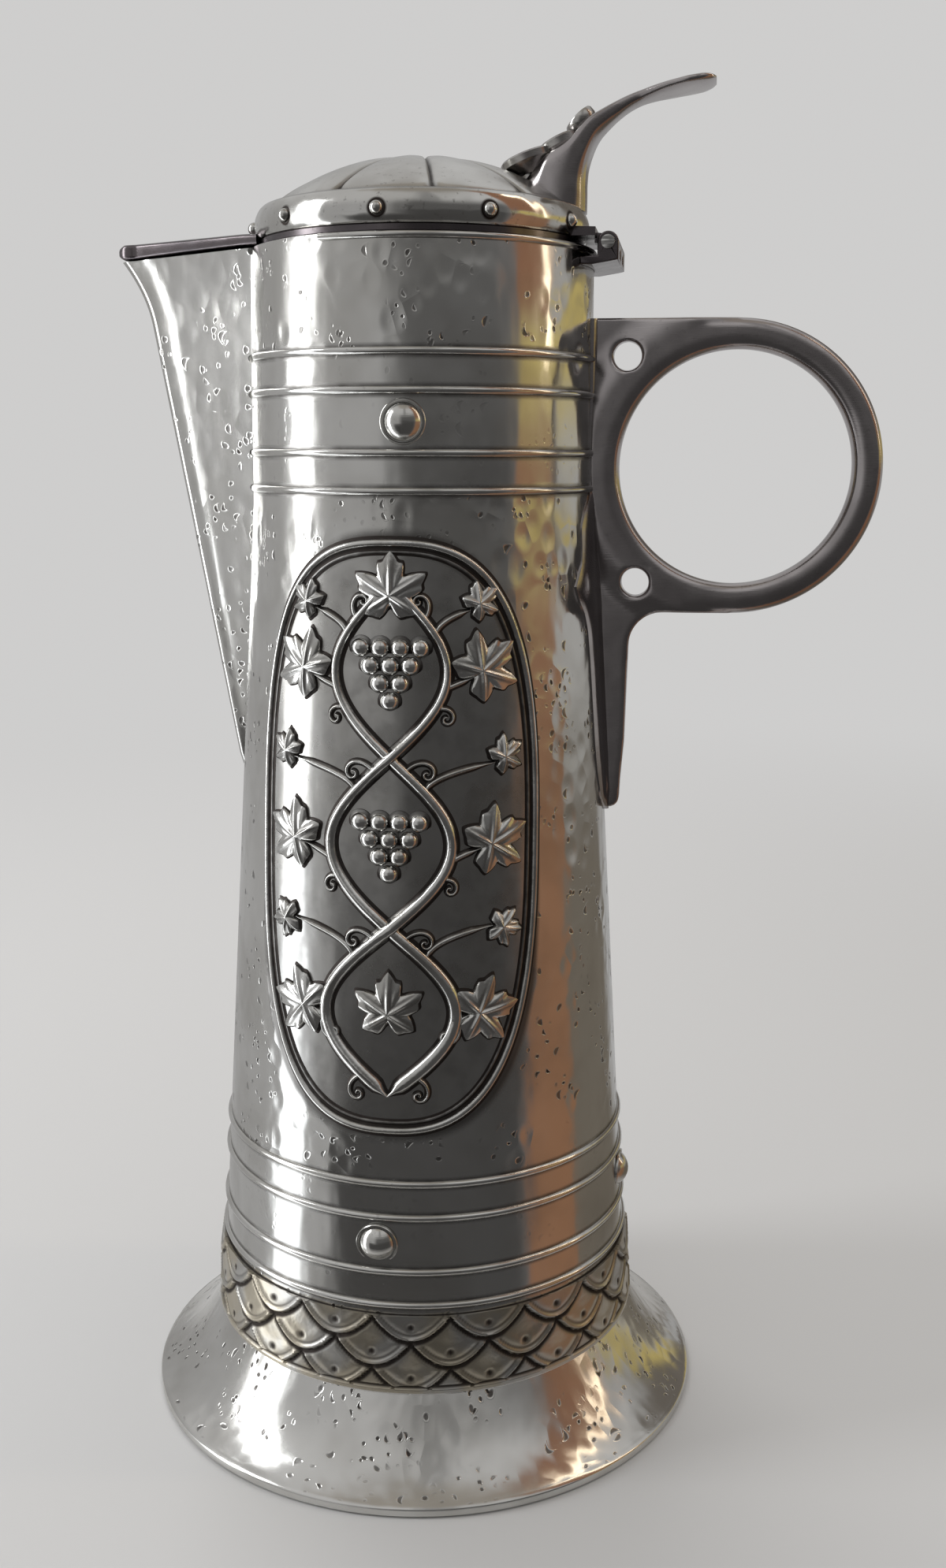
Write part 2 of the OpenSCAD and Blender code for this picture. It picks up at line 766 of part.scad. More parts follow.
module hinge_bracket() {
    color(bright)
    difference() {
        union() {
            for (i = [0, 2, 4])
                at_knuckle(i)
                union() {
                    translate([hinge_x, hinge_h])
                        circle(knuckle_r);
                    translate([hinge_x - knuckle_r, hinge_h - 5])
                        square([2 * knuckle_r, 5]);
                }
            translate([0, barrel_l / 2, 0])
                rotate([90, 0, 0])
                linear_extrude(barrel_l)
                polygon([
                    [30, hinge_h - 12], [rim_r + 0.6, hinge_h - 13], [hinge_x + 1, hinge_h - 7.5],
                    [hinge_x + knuckle_r, hinge_h - 5], [hinge_x + knuckle_r, hinge_h - knuckle_r - 0.6],
                    [hinge_x - knuckle_r, hinge_h - knuckle_r - 0.6], [30, hinge_h - knuckle_r - 1.2]
                ]);
        }
        translate([hinge_x, 0, hinge_h])
            rotate([90, 0, 0])
            cylinder(r = pin_r, h = barrel_l + 10, center = true);
        body_solid(1);
        rotate_extrude()
            translate([rim_r - rim_wire_r * 0.2, rim_h - rim_wire_r])
            circle(rim_wire_r);
    }
}

module hinge_pin() {
    color(bright)
    translate([hinge_x, 0, hinge_h])
        rotate([90, 0, 0]) {
            cylinder(r = pin_r, h = barrel_l + 0.02, center = true);
            for (s = [-1, 1])
                translate([0, 0, s * (barrel_l / 2 + 0.4)])
                    cylinder(r = pin_r * 1.5, h = 0.8, center = true);
        }
}

// Curve of the dome: height at a distance from the axis
function dome_z(r, inset = 0) =
    dome_edge + dome_rise - dome_sphere_r + sqrt(pow(dome_sphere_r - inset, 2) - r * r);

module lid_dome() {
    color(bright)
    rotate_extrude()
        difference() {
            intersection() {
                translate([0, dome_edge + dome_rise - dome_sphere_r])
                    circle(dome_sphere_r, $fn = 360);
                translate([0, dome_edge])
                    square([dome_r, dome_rise + 1]);
            }
            translate([0, dome_edge + dome_rise - dome_sphere_r])
                circle(dome_sphere_r - lid_t, $fn = 360);
        }
}

// Section of the band's bulge, filled to the axis
module band_bulge_2d() {
    intersection() {
        translate([lid_band_r - band_bulge_r, band_mid])
            circle(band_bulge_r);
        translate([0, band_low])
            square([lid_band_r + 1, lid_band_h]);
    }
}

module lid_band() {
    inner_r = dome_r - lid_t;
    color(bright)
    rotate_extrude()
        difference() {
            union() {
                band_bulge_2d();
                translate([inner_r, band_low])
                    square([lid_t + 1, lid_band_h + 0.2]);
            }
            translate([0, band_low - 1])
                square([inner_r, lid_band_h + 2]);
        }
}

module lid_seat() {
    color(dark)
    rotate_extrude()
        translate([locating_in_r - seat_ledge, lid_low])
        square([seat_r - locating_in_r + seat_ledge, seat_h]);
}

module lid_locating_ring() {
    color(bright)
    rotate_extrude()
        translate([locating_in_r, lid_low - flange_h])
        square([lid_t, flange_h]);
}

// Round studs on the band, but for those that the hinge leaf covers
module lid_studs() {
    covered = asin((barrel_l / 2 + stud_r) / lid_band_r);
    color(bright)
    for (i = [0:stud_count - 1], angle = [stud_turn + i * 360 / stud_count])
        if (abs(angle - 90) > covered)
        rotate([0, 0, angle])
        translate([0, -lid_band_r, band_mid])
        rotate([90, 0, 0])
        rotate_extrude()
        intersection() {
            circle(stud_r);
            translate([0, -0.3])
                square([stud_r, stud_r + 1]);
        }
}

// What the lid's seat and band take up, which the tongue and the hinge leaf stay clear of
module lid_room() {
    rotate_extrude()
        union() {
            translate([0, rim_h - 10])
                square([seat_r, 30]);
            band_bulge_2d();
        }
}

// The tongue's outline from above: straight sides into a round tip
module tongue_2d() {
    half_root = spout_half_w + 0.6;
    tip_x = tongue_tip_r - tongue_reach;
    polygon(concat(
        [[4 - seat_r, -half_root]],
        [for (a = [-72:12:72]) [tip_x - tongue_tip_r * cos(a), tongue_tip_r * sin(a)]],
        [[4 - seat_r, half_root]]
    ));
}

module lid_tongue() {
    under = rim_h + tongue_gap;
    color(dark)
    difference() {
        translate([-rim_r, 0, under])
            rotate([0, -spout_fall, 0])
            translate([rim_r, 0, 0])
            intersection() {
                linear_extrude(tongue_t)
                    tongue_2d();
                translate([-tongue_reach - 2, 0, 0])
                    rotate([90, 0, 90])
                    linear_extrude(tongue_reach)
                    polygon([
                        [-30, -1], [30, -1], [30, tongue_t - 2.6], [0, tongue_t], [-30, tongue_t - 2.6]
                    ]);
            }
        lid_room();
    }
}

module lid_hinge_leaf() {
    color(dark)
    difference() {
        union() {
            for (i = [1, 3])
                at_knuckle(i)
                union() {
                    translate([hinge_x, hinge_h])
                        circle(knuckle_r);
                    polygon([
                        [hinge_x - 4, hinge_h + knuckle_r - leaf_t],
                        [hinge_x, hinge_h + knuckle_r - leaf_t],
                        [hinge_x, hinge_h + knuckle_r], [hinge_x - 4, hinge_h + knuckle_r + 0.4]
                    ]);
                }
            translate([0, barrel_l / 2, 0])
                rotate([90, 0, 0])
                linear_extrude(barrel_l)
                polygon([
                    [30, band_low], [hinge_x - 3.4, band_low], [hinge_x - 3.4, band_low + leaf_t],
                    [30, band_low + leaf_t + 0.8]
                ]);
        }
        translate([hinge_x, 0, hinge_h])
            rotate([90, 0, 0])
            cylinder(r = pin_r + pin_fit, h = barrel_l + 10, center = true);
        lid_room();
    }
}

// Side outline of the thumbpiece, measured back and down from its tip; its foot stays on the lid
function thumb_at(back, down) = [thumb_reach - back, rim_h + thumb_h - down];
module thumb_side_2d() {
    front = dome_r * 0.58;
    back = lid_band_r - 0.7;
    polygon([
        [front, dome_z(front) - 3], [front, dome_z(front) + 1], thumb_at(45.6, 20.4), thumb_at(39.1, 16.2),
        thumb_at(34.6, 10.6), thumb_at(30.9, 7.9), thumb_at(25.1, 4.6), thumb_at(18.4, 2.2),
        thumb_at(10, 0.7), thumb_at(3.2, 0), thumb_at(0.4, 0.4), thumb_at(0, 1.4),
        thumb_at(1, 2.2), thumb_at(3.9, 2.5), thumb_at(15, 4.4), thumb_at(20.9, 6.2),
        thumb_at(26.4, 9.6), thumb_at(30.4, 14.8), thumb_at(33, 20.2), thumb_at(34.1, 26.8),
        [back, band_high - 0.6], [back - 9.5, band_high - 0.6]
    ]);
}

// The same from above: half widths along the foot on the lid, the stem and the paddle
module thumb_top_2d() {
    half_foot = thumb_foot_w / 2;
    half_stem = stem_w / 2;
    half_paddle = paddle_w / 2;
    side = [
        [lid_band_r - 20.2, half_foot * 0.5], [lid_band_r - 12.2, half_foot],
        [lid_band_r - 4.2, half_foot], [lid_band_r + 0.8, half_foot * 0.8],
        [thumb_reach - 26.6, half_stem], [thumb_reach - 19.6, half_stem],
        [thumb_reach - 13.6, half_paddle * 0.84], [thumb_reach - 7, half_paddle],
        [thumb_reach - 3, half_paddle * 0.92], [thumb_reach, half_paddle * 0.4]
    ];
    polygon(concat(
        [for (p = side) [p[0], -p[1]]],
        [for (i = [len(side) - 1:-1:0]) side[i]]
    ));
}

// Dome and band filled in, which the pieces on the lid are cut to
module lid_filled() {
    rotate_extrude()
        union() {
            intersection() {
                translate([0, dome_edge + dome_rise - dome_sphere_r])
                    circle(dome_sphere_r, $fn = 360);
                translate([0, dome_edge - 0.1])
                    square([dome_r, dome_rise + 1]);
            }
            band_bulge_2d();
            translate([0, band_low])
                square([dome_r + 1, lid_band_h + 0.2]);
        }
}

module thumbpiece() {
    color(dark)
    difference() {
        intersection() {
            translate([0, 20, 0])
                rotate([90, 0, 0])
                linear_extrude(40)
                thumb_side_2d();
            translate([0, 0, rim_h])
                linear_extrude(thumb_h + 5)
                thumb_top_2d();
        }
        lid_filled();
    }
}

// Three scales step up the front of the thumbpiece: [tip, height above the rim, radius, tilt]
thumb_scale_places = [[21.6, 22.7, 7.6, 20], [32, 27, 6, 24], [39.2, 31.6, 4.4, 44]];
module thumb_scales() {
    color(dark)
    difference() {
        for (p = thumb_scale_places)
            translate([p[0], 0, rim_h + p[1]])
            rotate([0, -p[3], 0])
            translate([p[2], 0, -2.4])
            cylinder(r = p[2], h = 2.4);
        lid_filled();
        translate([0, 20, 0])
            rotate([90, 0, 0])
            linear_extrude(40)
            thumb_side_2d();
    }
}

body_shell();
bottom_plate();
foot();
scale_band();
band_scales();
rim_wire();
upper_ring(upper_band_h + band_offsets[0]);  // upper_ring_1
upper_ring(upper_band_h + band_offsets[1]);  // upper_ring_2
upper_ring(upper_band_h + band_offsets[2]);  // upper_ring_3
upper_ring(upper_band_h + band_offsets[3]);  // upper_ring_4
lower_ring(lower_band_h + band_offsets[0]);  // lower_ring_1
lower_ring(lower_band_h + band_offsets[1]);  // lower_ring_2
lower_ring(lower_band_h + band_offsets[2]);  // lower_ring_3
lower_ring(lower_band_h + band_offsets[3]);  // lower_ring_4
upper_bosses();
lower_bosses();
vine_border();
vine_stem(-1);  // vine_stem_left
vine_stem(1);  // vine_stem_right
vine_leaves();
grape_bunch(vine_mid + vine_loop - 1);  // grapes_upper
grape_bunch(vine_mid - 1);  // grapes_lower
spout();
handle();
handle_flange();
hinge_bracket();
hinge_pin();
lid_dome();
lid_band();
lid_seat();
lid_locating_ring();
lid_studs();
lid_tongue();
lid_hinge_leaf();
thumbpiece();
thumb_scales();
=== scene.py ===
# %% [markdown]
# # A claret jug with a hinged lid
#
# A claret jug is a tall metal pitcher for wine. This one is raised from sheet metal: a tapering
# body on a flared foot, a beak spout let into the side, a ring handle that takes three fingers,
# and a domed lid that the thumb opens. We dress the CAD model of the jug piece by piece, and all
# pieces stay in the CAD model's own frame: millimetres times 0.001, Z up, the spout towards -X.

# %% Load the CAD frame
from math import asin, atan, copysign, cos, degrees, exp, hypot, log, pi, radians, sin, sqrt, tan

import bpy
from mathutils import Matrix, Vector


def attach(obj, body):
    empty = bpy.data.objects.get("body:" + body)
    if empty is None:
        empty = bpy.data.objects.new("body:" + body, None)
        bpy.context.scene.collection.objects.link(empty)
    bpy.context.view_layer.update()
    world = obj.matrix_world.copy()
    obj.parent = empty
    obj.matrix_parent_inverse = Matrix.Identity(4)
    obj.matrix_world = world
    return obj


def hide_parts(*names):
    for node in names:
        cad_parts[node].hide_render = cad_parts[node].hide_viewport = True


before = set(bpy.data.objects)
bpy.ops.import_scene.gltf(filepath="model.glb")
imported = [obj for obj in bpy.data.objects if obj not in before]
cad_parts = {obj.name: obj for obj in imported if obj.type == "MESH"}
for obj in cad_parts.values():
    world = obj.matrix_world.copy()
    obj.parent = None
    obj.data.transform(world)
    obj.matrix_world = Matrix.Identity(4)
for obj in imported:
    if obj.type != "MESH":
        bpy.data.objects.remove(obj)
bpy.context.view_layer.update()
MM = 0.001

# %% [markdown]
# ## The sizes that the pieces share
#
# The jug's body is two cones: a slow taper from the foot to the waist, and an almost straight
# collar above it. Nearly every other piece sits on that surface, so we write its radius once, as
# a function of the height, and a second function that turns "so far round and so high" into a
# point in space.

# %% The body's surface
RIM_H, RIM_R = 336.0, 47.6
WAIST_H, WAIST_R = 269.0, 48.1
BASE_H, BASE_R = 24.0, 63.2
WALL = 1.6
TAPER = (WAIST_R - BASE_R) / (WAIST_H - BASE_H)
UPPER_BAND_H, LOWER_BAND_H = 289.6, 68.0
RING_OFFSETS = (17.55, 7.85, -7.85, -17.55)
UPPER_RINGS = [UPPER_BAND_H + o for o in RING_OFFSETS]
LOWER_RINGS = [LOWER_BAND_H + o for o in RING_OFFSETS]


def body_r(z):
    if z >= WAIST_H:
        return WAIST_R + (RIM_R - WAIST_R) * (z - WAIST_H) / (RIM_H - WAIST_H)
    return BASE_R + TAPER * (z - BASE_H)


def from_front(r, a, z):
    """A point by its radius, its height and its angle from the front, towards the handle."""
    return Vector((r * sin(a), -r * cos(a), z))


def on_body(arc, z, lift=0.0):
    """A point beside the body: arc millimetres round from the front, towards the handle."""
    r = body_r(z)
    return from_front(r + lift, arc / r, z)


def ease(t):
    """0 below 0, 1 above 1, and a soft step between."""
    t = min(1.0, max(0.0, t))
    return t * t * (3 - 2 * t)


def peak(x, width):
    """A bell curve: 1 where x is 0, and fading out at about twice the width."""
    return exp(-((x / width) ** 2))


def between(table, x):
    """Reads a table of (x, value) rows, with straight lines between them."""
    if x <= table[0][0]:
        return table[0][1]
    for (x0, v0), (x1, v1) in zip(table, table[1:]):
        if x <= x1:
            return v0 + (v1 - v0) * (x - x0) / (x1 - x0)
    return table[-1][1]


print("radius at the waist:", body_r(WAIST_H), "at the foot:", round(body_r(BASE_H), 1))

# %% [markdown]
# ## The camera
#
# The photograph was taken from close by and a little above the middle of the jug, which is why
# the foot's ellipse is so much rounder than the rim's. The camera's place, its tilt and its lens
# were worked out from the ring bands, whose real spacing is even.

# %% Camera
PHOTO_H = 1990
FOCAL_PX = 1996.25
EYE = (0.07963, -0.45160, 0.28188)
camera = bpy.data.objects.new("camera", bpy.data.cameras.new("camera"))
bpy.context.scene.collection.objects.link(camera)
camera.data.sensor_width = 36
camera.data.lens = 36 * FOCAL_PX / PHOTO_H
camera.data.clip_start = 0.01
heading, pitch, roll = radians(-8.183), radians(11.893), radians(0.2)
level = cos(pitch)
ahead = Vector((sin(heading) * level, cos(heading) * level, -sin(pitch)))
side = ahead.cross(Vector((0, 0, 1))).normalized()
over = side.cross(ahead)
right = side * cos(roll) + over * sin(roll)
up = over * cos(roll) - side * sin(roll)
turn = Matrix((right, up, -ahead)).transposed().to_4x4()
camera.matrix_world = Matrix.Translation(EYE) @ turn
bpy.context.scene.camera = camera
print("lens", round(camera.data.lens, 2), "mm on a 36 mm high frame")

# %% [markdown]
# ## Writing a finish as arithmetic
#
# A finish is a tree of shader nodes. Long trees are easier to read as sums, so we wrap a socket
# in a small class: adding, subtracting or multiplying two of them places the Math node that does
# it. Every other node comes from one method, which takes the node's type, its settings, and what
# goes into its sockets.


# %% The wire
class Wire:
    """The value on one socket. Arithmetic on it adds Math nodes to the same finish."""

    def __init__(self, finish, socket):
        self.finish = finish
        self.socket = socket

    def maths(self, operation, *others):
        return self.finish.node("Math", {"operation": operation}, (self, *others))

    def __add__(self, other):
        return self.maths("ADD", other)

    def __sub__(self, other):
        return self.maths("SUBTRACT", other)

    def __rsub__(self, other):
        return self.finish.node("Math", {"operation": "SUBTRACT"}, (other, self))

    def __mul__(self, other):
        return self.maths("MULTIPLY", other)

    def __truediv__(self, other):
        return self.maths("DIVIDE", other)

    def __abs__(self):
        return self.maths("ABSOLUTE")

    def least(self, other):
        return self.maths("MINIMUM", other)

    def most(self, other):
        return self.maths("MAXIMUM", other)

    __radd__, __rmul__ = __add__, __mul__


# %% The finish
class Finish:
    """A material, or the world, and the nodes in it."""

    def __init__(self, name, world=False):
        self.data = (bpy.data.worlds if world else bpy.data.materials).new(name)
        self.data.use_nodes = True
        self.tree = self.data.node_tree
        self.tree.nodes.clear()

    def node(self, kind, settings=None, sockets=(), out=0):
        made = self.tree.nodes.new("ShaderNode" + kind)
        for key, value in (settings or {}).items():
            setattr(made, key, value)
        pairs = sockets.items() if isinstance(sockets, dict) else enumerate(sockets)
        for key, value in pairs:
            if isinstance(value, Wire):
                self.tree.links.new(value.socket, made.inputs[key])
            else:
                made.inputs[key].default_value = value
        if isinstance(out, tuple):
            return [Wire(self, made.outputs[o]) for o in out]
        return Wire(self, made.outputs[out])

    def step(self, value, low, high):
        """0 below low, 1 above high, and a soft step between; low may lie above high."""
        ends = {"From Min": min(low, high), "From Max": max(low, high), "Value": value}
        if low > high:
            ends.update({"To Min": 1.0, "To Max": 0.0})
        return self.node("MapRange", {"interpolation_type": "SMOOTHSTEP"}, ends)

    def mix(self, share, a, b):
        return self.node("Mix", {"data_type": "RGBA"}, {0: share, 6: a, 7: b}, out=2)

    def spots_mm(self):
        """The Object coordinates in millimetres: x, y, z, and the vector of them."""
        here = self.node("TexCoord", out="Object")
        scaled = self.node("VectorMath", {"operation": "SCALE"}, {"Vector": here, "Scale": 1000.0})
        x, y, z = self.node("SeparateXYZ", {}, (scaled,), out=(0, 1, 2))
        return x, y, z, scaled

    def vector(self, x, y, z=0.0):
        return self.node("CombineXYZ", {}, (x, y, z))

    def length(self, vector):
        return self.node("VectorMath", {"operation": "LENGTH"}, (vector,), out="Value")

    def noise(self, vector, size, detail=2.0, rough=0.5, out=0):
        """Noise whose blots are about size millimetres."""
        sockets = {"Vector": vector, "Scale": 1.0 / size, "Detail": detail, "Roughness": rough}
        return self.node("TexNoise", {}, sockets, out)

    def marked(self):
        """What a piece's own points say about the dirt that lies on them, 0 to 1."""
        return self.node("Attribute", {"attribute_name": "grime"}, out="Fac")

    def metal(self, colour, roughness, bumps=()):
        """Ends the tree in a metal; bumps are (height, depth in mm), laid over each other."""
        sockets = {"Base Color": colour, "Metallic": 1.0, "Roughness": roughness}
        for height, depth in bumps:
            into = {"Height": height, "Distance": depth * MM, "Strength": 1.0}
            if "Normal" in sockets:
                into["Normal"] = sockets["Normal"]
            sockets["Normal"] = self.node("Bump", {}, into)
        return self.end(self.node("BsdfPrincipled", {}, sockets))

    def end(self, shader, kind="OutputMaterial"):
        last = self.tree.nodes.new("ShaderNode" + kind)
        self.tree.links.new(shader.socket, last.inputs["Surface"])
        return self.data


print("ready to write finishes")

# %% [markdown]
# ## Hammer and punch marks
#
# The maker left the sheet alive with little curved punch marks, scattered by hand in loose
# crowds. We lay a Voronoi pattern over the surface: each cell gets at most one mark, with its own
# turn, length and bend. The pattern is measured along the surface, so the marks keep their size
# all round. A noise decides where the crowds are.


# %% Punch marks
def punch_marks(f, u, v, cell, length, share, seed, sway):
    """Depth and raised lip, 0 to 1, of short curved marks that sway to both sides of upright."""
    spot = f.vector(u / cell + seed, v / cell + seed * 0.37)
    wobble = f.noise(spot, 1.3, 1.0, out=1)
    pushed = f.node("VectorMath", {"operation": "SCALE"}, {"Vector": wobble, "Scale": 0.4})
    shifted = f.node("VectorMath", {"operation": "ADD"}, (spot, pushed))
    centre, chance = f.node(
        "TexVoronoi",
        {"voronoi_dimensions": "2D"},
        {"Vector": shifted, "Scale": 1.0, "Randomness": 1.0},
        out=("Position", "Color"),
    )
    away = f.node("VectorMath", {"operation": "SUBTRACT"}, (shifted, centre))
    dx, dy, _ = f.node("SeparateXYZ", {}, (away,), out=(0, 1, 2))
    one, two, three = f.node("SeparateColor", {}, (chance,), out=(0, 1, 2))
    turn = two * sway + (pi - sway) / 2
    cosine, sine = turn.maths("COSINE"), turn.maths("SINE")
    along = (dx * cosine + dy * sine) * cell
    across = (dy * cosine - dx * sine) * cell
    bent = across + (three * 1.6 - 0.5) * along * along / length
    half = length * (0.25 + 0.4 * three)
    there = f.step(one, share, share - 0.02)
    long, wide = along / half, bent / (length * 0.3)
    far = long * long + wide * wide
    pit = f.step(far, 1.25, 0.3) * there
    lip = f.step(abs(far - 1.7), 0.8, 0.1) * there
    return pit, lip


def round_arc(x, y, radius):
    """Distance round the jug's axis from the front, in millimetres, at that radius."""
    return x.maths("ARCTAN2", y * -1.0) * radius


# %% [markdown]
# ## The finishes
#
# All of the jug is one metal, a polished pewter, but no two pieces shine alike. The open sheet is
# bright and hammered, the ring bands were burnished smooth, and the handle, tongue and thumbpiece
# are painted in darker copies of the same pewter: painted shade for the dark room that they
# reflect. In every groove lies a brown black patina.

# %% Colours
PEWTER = (0.66, 0.655, 0.635, 1)
WORN = (0.50, 0.49, 0.465, 1)
DULL = (0.33, 0.31, 0.295, 1)
# CAST and DEEP_CAST are darker copies of the pewter: painted shade for the dark room that the cast
# pieces reflect.
CAST = (0.48, 0.45, 0.45, 1)
DEEP_CAST = (0.33, 0.305, 0.305, 1)
# The two tarnish colours are also painted shade: on the lid's seat they stand in for the shadow in
# the gap over the rim, and on the tongue for the dark room that it reflects.
TARNISH_AND_SHADE, DEEP_TARNISH_AND_SHADE = (0.17, 0.15, 0.155, 1), (0.10, 0.09, 0.095, 1)
# The straw colour below is a painted warm reflection: it tints the band of scales low on the body.
STRAW_REFLECTION = (0.53, 0.48, 0.385, 1)
PATINA = (0.035, 0.028, 0.025, 1)


# %% Finish of the open sheet
def sheet_finish(name, mapping, regions=None, grime=None, crowding=0.52, sway=6.28, wave=0.34):
    """Polished sheet with punch marks; mapping gives u and v, regions and grime give 0 to 1."""
    f = Finish(name)
    x, y, z, here = f.spots_mm()
    u, v = mapping(f, x, y, z)
    where = regions(f, x, y, z) if regions else 1.0
    big, big_lip = punch_marks(f, u, v, 7.0, 2.3, 0.30, 3.1, sway)
    small, small_lip = punch_marks(f, u, v, 3.2, 1.6, 0.66, 17.7, sway)
    crowd = f.step(f.noise(here, 15, 1.0), crowding, crowding + 0.14)
    pits = (big * 0.8).most(small * crowd) * where
    lips = (big_lip * 0.7).most(small_lip * crowd) * where
    cells = {"Vector": f.vector(u / 6.0, v / 8.0), "Scale": 1.0}
    blows = f.node("TexVoronoi", {"voronoi_dimensions": "2D"}, cells)
    dents = f.step(blows, 0.05, 0.6) * f.step(f.noise(here, 22, 1.0), 0.42, 0.6) * where
    tall = f.vector(x, y, z * 0.35)
    wavy = f.noise(tall, 6.5, 1.0) * 0.6 + f.noise(here, 24, 0.0) * 0.9
    cloud = f.noise(here, 34, 3.0, 0.6)
    colour = f.mix(f.step(cloud, 0.35, 0.7), PEWTER, WORN)
    dirt = pits * (0.55 + 0.7 * f.noise(here, 5.0, 1.0))
    if grime:
        dirt = dirt.most(grime(f, x, y, z))
    colour = f.mix(dirt.least(0.95), colour, PATINA)
    fine = f.noise(here, 0.9, 2.0)
    roughness = 0.10 + 0.09 * f.step(cloud, 0.3, 0.75) + 0.05 * fine + dirt * 0.25
    return f.metal(colour, roughness, ((wavy, wave), (dents, wave / 2), (lips * 0.2 - pits, 0.10)))


BODY_MEAN_R, FOOT_MEAN_R = 54.0, 73.0


def body_map(f, x, y, z):
    return round_arc(x, y, BODY_MEAN_R), z


def foot_map(f, x, y, z):
    return round_arc(x, y, FOOT_MEAN_R), f.length(f.vector(x, y)) * 1.4


def spout_map(f, x, y, z):
    return x * 1.04, z + f.step(y, -1.0, 1.0) * 37.0


# %% [markdown]
# The body's finish knows the places of its neighbours: it leaves the punch marks out between the
# rings, and darkens the solder lines beside the rings, the spout and the oval border.

# %% Where the marks and the grime are
BORDER_W, BORDER_H, BORDER_MID, BORDER_POWER = 41.0, 79.05, 180.0, 8 / 3
SPOUT_LOW, SPOUT_HALF_W = 191.0, 18.0


def spout_side(z):
    """Half of the spout's width where it meets the body; z may be a number or a wire."""
    return (z - SPOUT_LOW) * ((SPOUT_HALF_W - 1.8) / (RIM_H - SPOUT_LOW)) + 1.8


def away_from_rings(f, z):
    """1 on the open sheet, near 0 between the rings of the two bands."""
    upper = f.step(abs(z - UPPER_BAND_H), 15.0, 19.0)
    lower = f.step(abs(z - LOWER_BAND_H), 15.0, 19.0)
    return 0.12 + 0.88 * upper.least(lower)


def border_far(x, y, z):
    """How far out a point lies, with 1 on the border's own line."""
    arc = abs(round_arc(x, y, BODY_MEAN_R)) / BORDER_W
    rise = abs(z - BORDER_MID) / BORDER_H
    return arc.maths("POWER", BORDER_POWER) + rise.maths("POWER", BORDER_POWER)


def groove_grime(f, x, y, z):
    """Dark lines beside every ring, the spout and the border, and a darker relief ground."""
    near = abs(z - UPPER_RINGS[0])
    for height in UPPER_RINGS[1:] + LOWER_RINGS:
        near = near.least(abs(z - height))
    blots = f.noise(f.vector(x, y, z), 6.0, 2.0)
    lines = f.step(near, 2.3, 1.0) * (0.35 + 0.7 * blots)
    seam = f.step(abs(abs(y) - spout_side(z)), 1.2, 0.3) * f.step(x, -20.0, -25.0)
    seam = seam * f.step(z, 186.0, 192.0)
    far = border_far(x, y, z)
    ground = f.step(far, 1.04, 0.97) * (0.22 + 0.22 * f.step(blots, 0.35, 0.75))
    edge = f.step(abs(far - 1.0), 0.16, 0.05) * 0.75
    return lines.most(seam).most(ground).most(edge).least(0.95)


def body_regions(f, x, y, z):
    return away_from_rings(f, z) * f.step(border_far(x, y, z), 0.95, 1.15)


def flare_only(f, x, y, z):
    return f.step(z, 2.8, 3.8)


body_finish = sheet_finish("hammered_body", body_map, body_regions, groove_grime, sway=1.7)
foot_finish = sheet_finish("hammered_foot", foot_map, flare_only, crowding=0.47, wave=0.2)
spout_finish = sheet_finish("hammered_spout", spout_map, crowding=0.5, sway=1.7, wave=0.1)
print("sheet finishes:", body_finish.name, foot_finish.name, spout_finish.name)


# %% [markdown]
# The other pieces have no punch marks. Where a piece has grooves, its own points carry an
# attribute called grime, which the finish reads: that keeps the dark lines exactly in the grooves
# that the mesh has. On the band of scales it also carries a painted shade line above each lip.


# %% Burnished and cast finishes
def plain_finish(name, light, dark, gloss, blot=18.0, speckle=0.0, wave=0.12, lines=0.02):
    """Smooth metal, cloudy between two colours, with fine wear lines, specks and grime."""
    f = Finish(name)
    x, y, z, here = f.spots_mm()
    cloud = f.step(f.noise(here, blot, 3.0, 0.6), 0.32, 0.7)
    specks = f.step(f.noise(here, 1.7, 2.0, 0.6), 0.62, 0.74) * speckle
    streaks = f.noise(f.vector(x * 0.25, y * 0.25, z * 5.0), 1.0, 2.0)
    worn = f.marked() * (0.75 + 0.5 * f.noise(here, 3.0, 2.0))
    dirt = specks.most(worn).least(0.96)
    colour = f.mix(dirt, f.mix(cloud, light, dark), PATINA)
    roughness = gloss + 0.08 * cloud + 0.2 * dirt + 0.05 * streaks
    return f.metal(colour, roughness, ((f.noise(here, 9.0, 1.0), wave), (streaks, lines)))


burnished = plain_finish("burnished_metal", PEWTER, WORN, 0.09, 24.0, 0.2)
dome_finish = plain_finish("brushed_dome", PEWTER, WORN, 0.13, 20.0, 0.25, 0.2, 0.0)
# Painted shade: the handle, its flange and the thumbpiece get this darker copy of the pewter.
shaded_cast = plain_finish("shaded_cast_metal", CAST, DEEP_CAST, 0.10, 26.0, 0.15)
worn_cast = plain_finish("worn_cast_metal", WORN, DEEP_CAST, 0.14, 8.0, 0.4, 0.2)
# Tarnish and painted shade: the hinge gets this dark finish, and the lid's seat and tongue get it
# as painted shade.
tarnish_and_shade = plain_finish("tarnish_and_shade_metal", TARNISH_AND_SHADE, DEEP_TARNISH_AND_SHADE, 0.16, 20.0, 0.2)
dull_inside = plain_finish("dull_inside", WORN, DULL, 0.34, 30.0, 0.4)
print("cast finishes:", shaded_cast.name, dull_inside.name)


